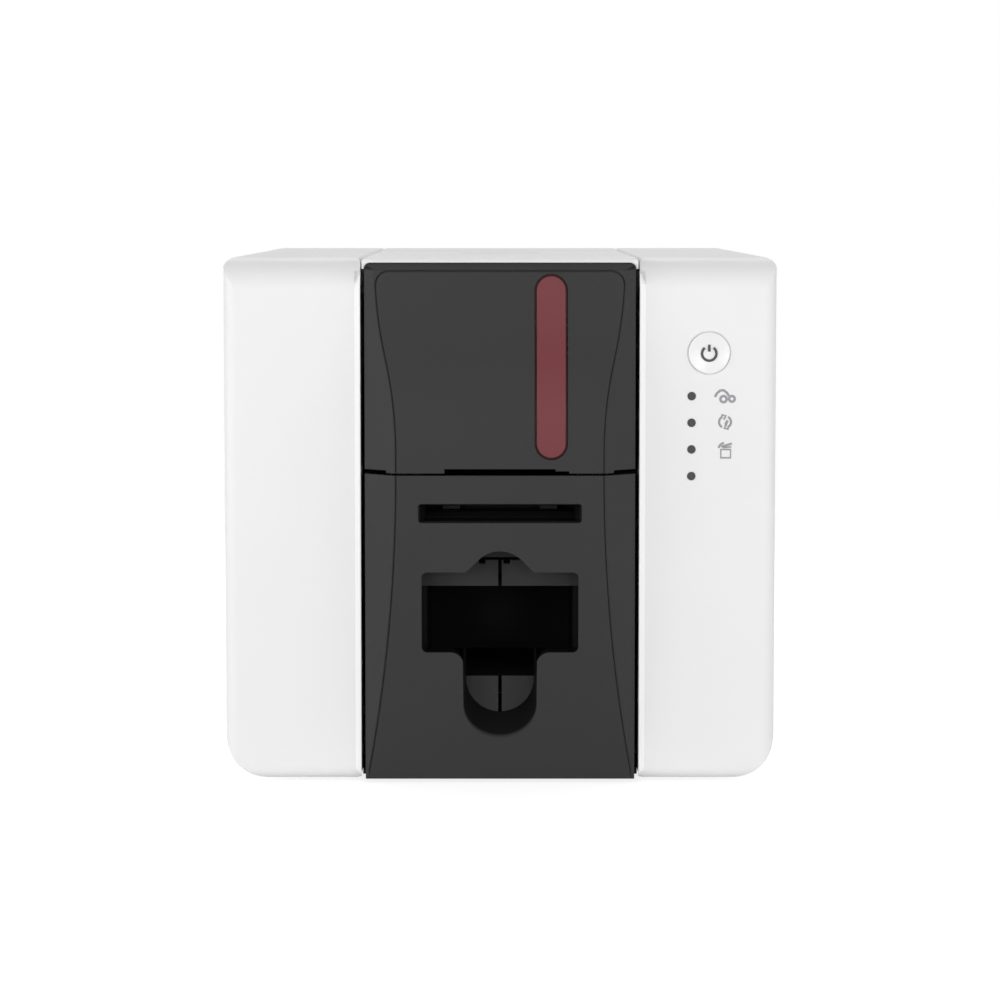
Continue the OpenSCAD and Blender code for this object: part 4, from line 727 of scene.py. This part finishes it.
for name, side in (("edge_bead_left", -1), ("edge_bead_right", 1)):
    print(edge_bead(name, side).name, "on the cover's edge")

# %% [markdown]
# ## The ring round the button
# A thin sleeve of milky acrylic lines the hole that the button moves in, and carries the light
# of a lamp behind it to the front. It is a ring drawn as a profile and turned round the
# button's axis, and it stays with the cover while the button goes in.

# %% The light ring
RING_IN_MM, RING_OUT_MM = 7.74, 7.97
RING_FRONT_MM, RING_BACK_MM = -144.75, -142.8
RING_CHAMFER_MM = 0.05
acrylic_milky = moulded("acrylic_milky_ring", "#F4F4F4", "#F0F0F0", 0.3, 0.2, 0.0)


def turned_ring(name, profile, cx, cz, material, body, steps=96):
    """A ring round an axis along Y: profile is a closed line of (radius, y) points in mm."""
    bm = bmesh.new()
    turns = []
    for i in range(steps):
        angle = 2 * math.pi * i / steps
        turns.append([bm.verts.new(((cx + r * math.cos(angle)) * MM, y * MM,
                                    (cz + r * math.sin(angle)) * MM)) for r, y in profile])
    for i in range(steps):
        here, following = turns[i], turns[(i + 1) % steps]
        for j in range(len(profile)):
            k = (j + 1) % len(profile)
            bm.faces.new((here[j], here[k], following[k], following[j]))
    obj = piece(name, bm, material)
    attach(obj, body)
    return obj


ring_profile = [
    (RING_IN_MM, RING_FRONT_MM + RING_CHAMFER_MM),
    (RING_IN_MM + RING_CHAMFER_MM, RING_FRONT_MM),
    (RING_OUT_MM - RING_CHAMFER_MM, RING_FRONT_MM),
    (RING_OUT_MM, RING_FRONT_MM + RING_CHAMFER_MM),
    (RING_OUT_MM, RING_BACK_MM), (RING_IN_MM, RING_BACK_MM)]
light_ring = turned_ring("light_ring", ring_profile, BUTTON_X, BUTTON_Z, acrylic_milky,
                         "base")
print(light_ring.name, RING_IN_MM, "to", RING_OUT_MM, "mm")

# %% [markdown]
# ## The signs by the lights
# They say what a light is about: the ribbon, cleaning, and the cards. Each is made of a few
# plain strokes that stand for the thing itself.

# %% Ribbon, cleaning and card signs
COVER_FACE_Y = -0.145
SIGN_X = 83.4
RIBBON_Z, CLEAN_Z, CARDS_Z = 144.7, 135.2, 124.9
COVER_SIGNS = {
    "ribbon_sign": [
        stroke(arc(SIGN_X - 0.6, RIBBON_Z - 1.0, 1.15, 0, 348, 24), 0.95, True),
        stroke(arc(SIGN_X + 2.5, RIBBON_Z - 0.9, 1.05, 0, 348, 24), 0.95, True),
        stroke(shifted(SIGN_X, RIBBON_Z, [(-3.8, -0.2), (-3.0, 1.2), (-1.8, 2.2), (-0.6, 2.3),
                                          (0.6, 1.4), (1.4, 0.2)]), 0.95)],
    "cleaning_sign": [
        stroke(arc(SIGN_X, CLEAN_Z, 2.2, 115, 240, 16), 0.85),
        stroke(arc(SIGN_X, CLEAN_Z, 2.2, 295, 420, 16), 0.85),
        stroke(shifted(SIGN_X, CLEAN_Z, [(-1.4, 2.6), (0.3, 2.3), (-0.5, 0.9)]), 0.8),
        stroke(shifted(SIGN_X, CLEAN_Z, [(1.4, -2.6), (-0.3, -2.3), (0.5, -0.9)]), 0.8),
        stroke(shifted(SIGN_X, CLEAN_Z, [(0.9, 0.6), (0.2, -1.0)]), 1.0)],
    "cards_sign": [
        stroke(shifted(SIGN_X, CARDS_Z, [(-1.5, -3.0), (2.1, -3.0), (2.1, 0.1), (-1.5, 0.1)]),
               0.8, True),
        stroke(shifted(SIGN_X, CARDS_Z, [(-2.4, 0.7), (-1.6, 2.0), (-0.4, 2.6)]), 0.85),
        stroke(shifted(SIGN_X, CARDS_Z, [(-1.4, 1.1), (2.6, 2.3)]), 0.85),
        stroke(shifted(SIGN_X, CARDS_Z, [(-0.6, 0.8), (2.4, 1.1)]), 0.65)],
}
for name, strokes in COVER_SIGNS.items():
    print(sign(name, strokes, COVER_FACE_Y, ink_grey, "base").name)

# %% [markdown]
# ## The floor
# A white sweep in a studio shows as plain white behind the object, and only a soft shadow by
# the feet says that there is a table. The floor is a matt white that also glows a little, for
# the camera, for reflections and through clear plastic, but lights nothing, so that the lamps
# can stay at a plain level. Near the object more of its light is real, for the shadow. Further
# out it is plain white paper.

# %% Floor
FLOOR_M = 7.0
NEAR_M, FAR_M = 0.25, 0.9
GLOW_NEAR, GLOW_FAR = 1.8, 1.0
SHARE_NEAR, SHARE_FAR = 0.45, 1.0


def seen(tree):
    """1 for what is looked at, by the camera, a reflection or through clear plastic."""
    path = add(tree, "ShaderNodeLightPath")
    direct = add(tree, "ShaderNodeMath", {"operation": "MAXIMUM"},
                 i0=path.outputs["Is Camera Ray"], i1=path.outputs["Is Glossy Ray"])
    return add(tree, "ShaderNodeMath", {"operation": "MAXIMUM"}, i0=direct.outputs[0],
               i1=path.outputs["Is Transmission Ray"]).outputs[0]


mesh = bpy.data.meshes.new("floor")
half = FLOOR_M / 2
mesh.from_pydata([(-half, -half, 0), (half, -half, 0), (half, half, 0), (-half, half, 0)], [],
                 [(0, 1, 2, 3)])
floor = bpy.data.objects.new("floor", mesh)
bpy.context.collection.objects.link(floor)

paper = bpy.data.materials.new("paper_white_matt")
paper.use_nodes = True
tree = paper.node_tree
tree.nodes.clear()
matt = add(tree, "ShaderNodeBsdfDiffuse", {"Color": linear("#F2F2F2")})
place = tree.nodes.new("ShaderNodeTexCoord").outputs["Object"]
away = add(tree, "ShaderNodeVectorMath", {"operation": "LENGTH"}, i0=place)
far = ramp(tree, away.outputs["Value"], NEAR_M, FAR_M)
level = add(tree, "ShaderNodeMapRange", {"To Min": GLOW_NEAR, "To Max": GLOW_FAR}, Value=far)
glow = add(tree, "ShaderNodeEmission", {"Color": (1, 1, 1, 1)},
           Strength=level.outputs["Result"])
share = add(tree, "ShaderNodeMapRange", {"To Min": SHARE_NEAR, "To Max": SHARE_FAR}, Value=far)
share = add(tree, "ShaderNodeMath", {"operation": "MULTIPLY"}, i0=seen(tree),
            i1=share.outputs["Result"])
lifted = add(tree, "ShaderNodeMixShader", None, i0=share.outputs[0], i1=matt.outputs[0],
             i2=glow.outputs[0])
add(tree, "ShaderNodeOutputMaterial", None, Surface=lifted.outputs[0])
mesh.materials.append(paper)
print("floor", FLOOR_M, "m")

# %% [markdown]
# ## The world
# The sky is the same plain white where it is looked at, and gives the object only a part of
# that as light, because the lamps do the rest.

# %% World
WORLD_LIGHT, WORLD_SEEN = 0.3, 1.0
world = bpy.data.worlds.new("studio")
bpy.context.scene.world = world
world.use_nodes = True
tree = world.node_tree
tree.nodes.clear()
level = add(tree, "ShaderNodeMapRange", {"To Min": WORLD_LIGHT, "To Max": WORLD_SEEN},
            Value=seen(tree))
sky = add(tree, "ShaderNodeBackground", {"Color": (1, 1, 1, 1)},
          Strength=level.outputs["Result"])
add(tree, "ShaderNodeOutputWorld", None, Surface=sky.outputs[0])
print("world light", WORLD_LIGHT)

# %% [markdown]
# ## The lamps
# Two soft boxes and two upright strips in front, the left box stronger, light the front more
# than the top. Two at the sides bring out the facets. The one overhead stands behind the
# object, so that the rounded upper edges turn a soft grey before the top does.

# %% Soft boxes
AIM = (0, 0, 0.1)
LAMPS = {  # place and size in metres, power in watts
    "front_left": ((-1.6, -2.2, 0.35), (1.0, 0.9), 15),
    "front_right": ((1.7, -2.1, 0.35), (1.0, 0.9), 11.5),
    "strip_left": ((-0.65, -2.9, 0.3), (0.3, 0.9), 11),
    "strip_right": ((0.65, -2.9, 0.3), (0.3, 0.9), 11),
    "side_left": ((-2.6, -0.9, 0.3), (1.0, 1.0), 23),
    "side_right": ((2.6, -0.9, 0.3), (1.0, 1.0), 14),
    "overhead": ((0, 1.5, 1.9), (1.4, 1.4), 14.5),
}
for name, (at, size, watts) in LAMPS.items():
    light = bpy.data.lights.new(name, "AREA")
    light.shape = "RECTANGLE"
    light.size, light.size_y = size
    light.energy = watts
    lamp = bpy.data.objects.new(name, light)
    lamp.location = at
    lamp.rotation_euler = (Vector(AIM) - Vector(at)).to_track_quat("-Z", "Y").to_euler()
    bpy.context.collection.objects.link(lamp)
print(len(LAMPS), "soft boxes")
